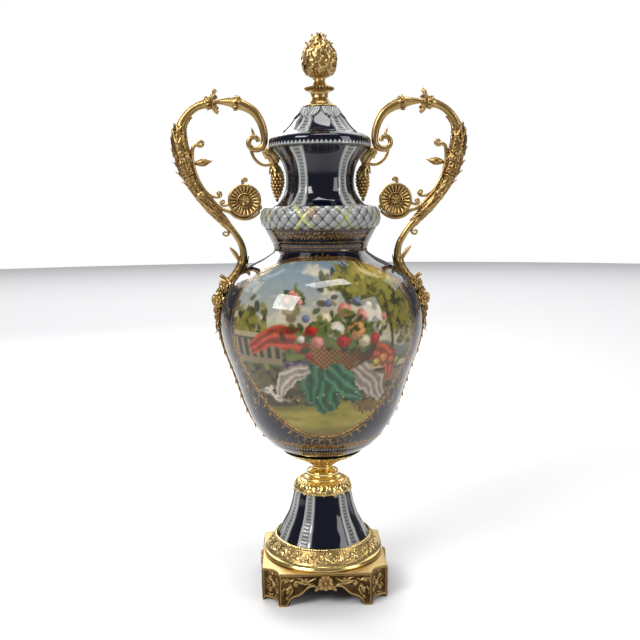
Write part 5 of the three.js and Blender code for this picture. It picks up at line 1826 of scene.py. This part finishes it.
def make_camera():
    """The camera at its height and distance, turned round the urn and tipped down a little."""
    data = bpy.data.cameras.new("camera")
    data.sensor_width, data.lens = 36.0, CAMERA_LENS
    data.clip_start, data.clip_end = 0.05, 50
    camera = bpy.data.objects.new("camera", data)
    turn = math.radians(CAMERA_AZIMUTH)
    camera.location = (CAMERA_DISTANCE * math.sin(turn), -CAMERA_DISTANCE * math.cos(turn), CAMERA_HEIGHT)
    camera.rotation_mode = "XYZ"
    matrix = (Matrix.Rotation(turn + math.radians(CAMERA_YAW), 4,
                                 "Z") @ Matrix.Rotation(math.radians(90 - CAMERA_PITCH), 4, "X")
              @ Matrix.Rotation(math.radians(CAMERA_ROLL), 4, "Z"))
    camera.rotation_euler = matrix.to_euler()
    bpy.context.scene.collection.objects.link(camera)
    bpy.context.scene.camera = camera


FLOOR_COLOUR = (0.82, 0.82, 0.82, 1)
SEEN_BACKGROUND, LIGHTING_BACKGROUND = (1.0, 1.0, 1.0, 1), (0.2, 0.205, 0.22, 1)
# Name, place, what it faces, size in metres and power in watts of each soft light.
URN_MIDDLE = (0, 0, 0.45)
STUDIO_LIGHTS = [("key_light", (-1.7, -1.6, 2.1), URN_MIDDLE, (1.2, 1.2), 55),
                 ("fill_light", (2.2, -1.4, 1.4), URN_MIDDLE, (1.0, 1.6), 22),
                 ("top_light", (0.2, -0.3, 2.8), URN_MIDDLE, (1.4, 0.7), 26),
                 ("floor_light", (0.0, 4.6, 3.4), (0.0, 4.7, 0.0), (10.0, 6.0), 300),
                 ("back_light", (-0.8, 2.2, 1.8), URN_MIDDLE, (1.4, 1.4), 24)]


def make_floor():
    """A plain pale disc that the urn stands on."""
    mesh = bpy.data.meshes.new("floor")
    angle = round_angles(64)
    mesh.from_pydata([(FLOOR_RADIUS * math.sin(a), FLOOR_RADIUS * math.cos(a), 0) for a in angle[::-1]], [],
                     [tuple(range(64))])
    floor = bpy.data.objects.new("floor", mesh)
    material, _, shader = finish_shader("floor_paint")
    shader.inputs["Base Color"].default_value = FLOOR_COLOUR
    shader.inputs["Roughness"].default_value = 0.6
    mesh.materials.append(material)
    bpy.context.scene.collection.objects.link(floor)


def make_world():
    """White to the camera and a softer grey to everything else."""
    world = bpy.data.worlds.new("studio")
    bpy.context.scene.world = world
    world.use_nodes = True
    tree = world.node_tree
    seen = add(tree, "ShaderNodeLightPath").outputs["Is Camera Ray"]
    tree.nodes["Background"].inputs["Strength"].default_value = 1.0
    shown = mixed(tree, seen, LIGHTING_BACKGROUND, SEEN_BACKGROUND)
    tree.links.new(shown, tree.nodes["Background"].inputs["Color"])


# ---------- the add-on ----------

def colour(name, description, value):
    """A colour that can be set in the panel."""
    return bpy.props.FloatVectorProperty(name=name, description=description, subtype="COLOR", size=3,
                                         default=value, min=0.0, max=1.0)


class UrnSettings(bpy.types.PropertyGroup):
    """Colours of the urn's finishes."""
    cobalt: colour("Cobalt glaze", "Ground colour of the porcelain", (0.0018, 0.0022, 0.010))
    porcelain_white: colour("White porcelain", "Ribs, laurel and lid leaves", (0.40, 0.41, 0.40))
    # This dark draws the lines on the white relief and also paints the shade in its hollows, in the laurel's
    # seams and under its leaves.
    rib_ink_and_shade: colour("Rib ink", "Drawing on the white relief", (0.05, 0.055, 0.045))
    ribbon_gold: colour("Ribbon gold", "Crossed ribbons on the laurel", (0.62, 0.58, 0.10))
    gilding: colour("Gilding", "Gold painted on the porcelain", (0.58, 0.34, 0.09))
    # The bright gilt lies on the high parts as wear and as painted highlight; the dark gilt fills the hollows
    # as tarnish and as painted shade.
    gilt_bright: colour("Bright gilt", "Worn high parts of the bronze", (0.60, 0.43, 0.18))
    gilt_middle: colour("Middle gilt", "Plain surfaces of the bronze", (0.34, 0.21, 0.075))
    gilt_dark: colour("Dark gilt", "Hollows of the bronze", (0.035, 0.018, 0.007))
    polished_gilt: colour("Polished gilt", "Polished top of the plinth and the rings", (0.90, 0.66, 0.24))


class URN_OT_plinth(bpy.types.Operator):
    """Footed square plinth with its leaf band"""
    bl_idname = "urn.plinth"
    bl_label = "Plinth and Leaf Band"

    def execute(self, context):
        piece("plinth_casting", shape_plinth(), finish("plinth_gilt"), "plinth")
        piece("leaf_band", shape_foot_ring(), finish("bright_gilt"), "foot_ring")
        return {"FINISHED"}


class URN_OT_stem(bpy.types.Operator):
    """Porcelain foot, leaf collar with its rings, and petalled cup"""
    bl_idname = "urn.stem"
    bl_label = "Foot, Stem and Cup"

    def execute(self, context):
        piece("bell_foot", shape_foot(), finish("painted_glaze"), "foot")
        piece("leaf_collar_stem", shape_stem(), finish("bright_gilt"), "stem")
        piece("petal_cup", shape_cup(), finish("bright_gilt"), "body_cup")
        return {"FINISHED"}


class URN_OT_body(bpy.types.Operator):
    """Painted vase with its collar"""
    bl_idname = "urn.body"
    bl_label = "Painted Vase"

    def execute(self, context):
        piece("painted_vase", shape_body(), finish("painted_glaze"), "body")
        piece("vase_collar", shape_collar(), finish("painted_glaze"), "body")
        return {"FINISHED"}


class URN_OT_neck(bpy.types.Operator):
    """Waisted neck with its laurel ring, and the lift-off lid"""
    bl_idname = "urn.neck"
    bl_label = "Neck and Lid"

    def execute(self, context):
        piece("laurel_neck", shape_neck(), finish("painted_glaze"), "neck")
        piece("ribbed_lid", shape_lid(), finish("painted_glaze"), "lid")
        return {"FINISHED"}


class URN_OT_finial(bpy.types.Operator):
    """Flame-leaf finial"""
    bl_idname = "urn.finial"
    bl_label = "Finial"

    def execute(self, context):
        piece("leaf_finial", shape_finial(), finish("antique_gilt"), "finial")
        return {"FINISHED"}


class URN_OT_handles(bpy.types.Operator):
    """Both scroll handles with their rosettes, grapes and flower sprays"""
    bl_idname = "urn.handles"
    bl_label = "Handles"

    def execute(self, context):
        right = shape_handle()
        piece("scroll_handle_right", right, finish("antique_gilt"), "right_handle")
        piece("scroll_handle_left", mirrored(right), finish("antique_gilt"), "left_handle")
        return {"FINISHED"}


class URN_OT_stage(bpy.types.Operator):
    """Camera, pale floor and soft studio light"""
    bl_idname = "urn.stage"
    bl_label = "Stage"

    def execute(self, context):
        make_camera()
        make_floor()
        make_world()
        context.scene.view_settings.view_transform = "Standard"
        for light in STUDIO_LIGHTS:
            soft_light(*light)
        return {"FINISHED"}


class URN_PT_panel(bpy.types.Panel):
    """The urn's colours and the steps that build it"""
    bl_idname = "URN_PT_panel"
    bl_label = "Mantel Urn"
    bl_space_type = "VIEW_3D"
    bl_region_type = "UI"
    bl_category = "Urn"

    def draw(self, context):
        for name in UrnSettings.__annotations__:
            self.layout.prop(context.scene.urn_settings, name)
        for step in STEPS:
            self.layout.operator(step.bl_idname)


STEPS = (URN_OT_stage, URN_OT_plinth, URN_OT_stem, URN_OT_body, URN_OT_neck, URN_OT_finial, URN_OT_handles)
CLASSES = (UrnSettings, *STEPS, URN_PT_panel)


def register():
    """Adds the classes and the scene's settings."""
    for item in CLASSES:
        bpy.utils.register_class(item)
    bpy.types.Scene.urn_settings = bpy.props.PointerProperty(type=UrnSettings)


def unregister():
    """Takes the settings and the classes away again."""
    del bpy.types.Scene.urn_settings
    for item in reversed(CLASSES):
        bpy.utils.unregister_class(item)


def main():
    """Builds every piece and the stage."""
    register()
    for step in STEPS:
        getattr(bpy.ops.urn, step.bl_idname.split(".")[1])()


if __name__ == "__main__":
    main()
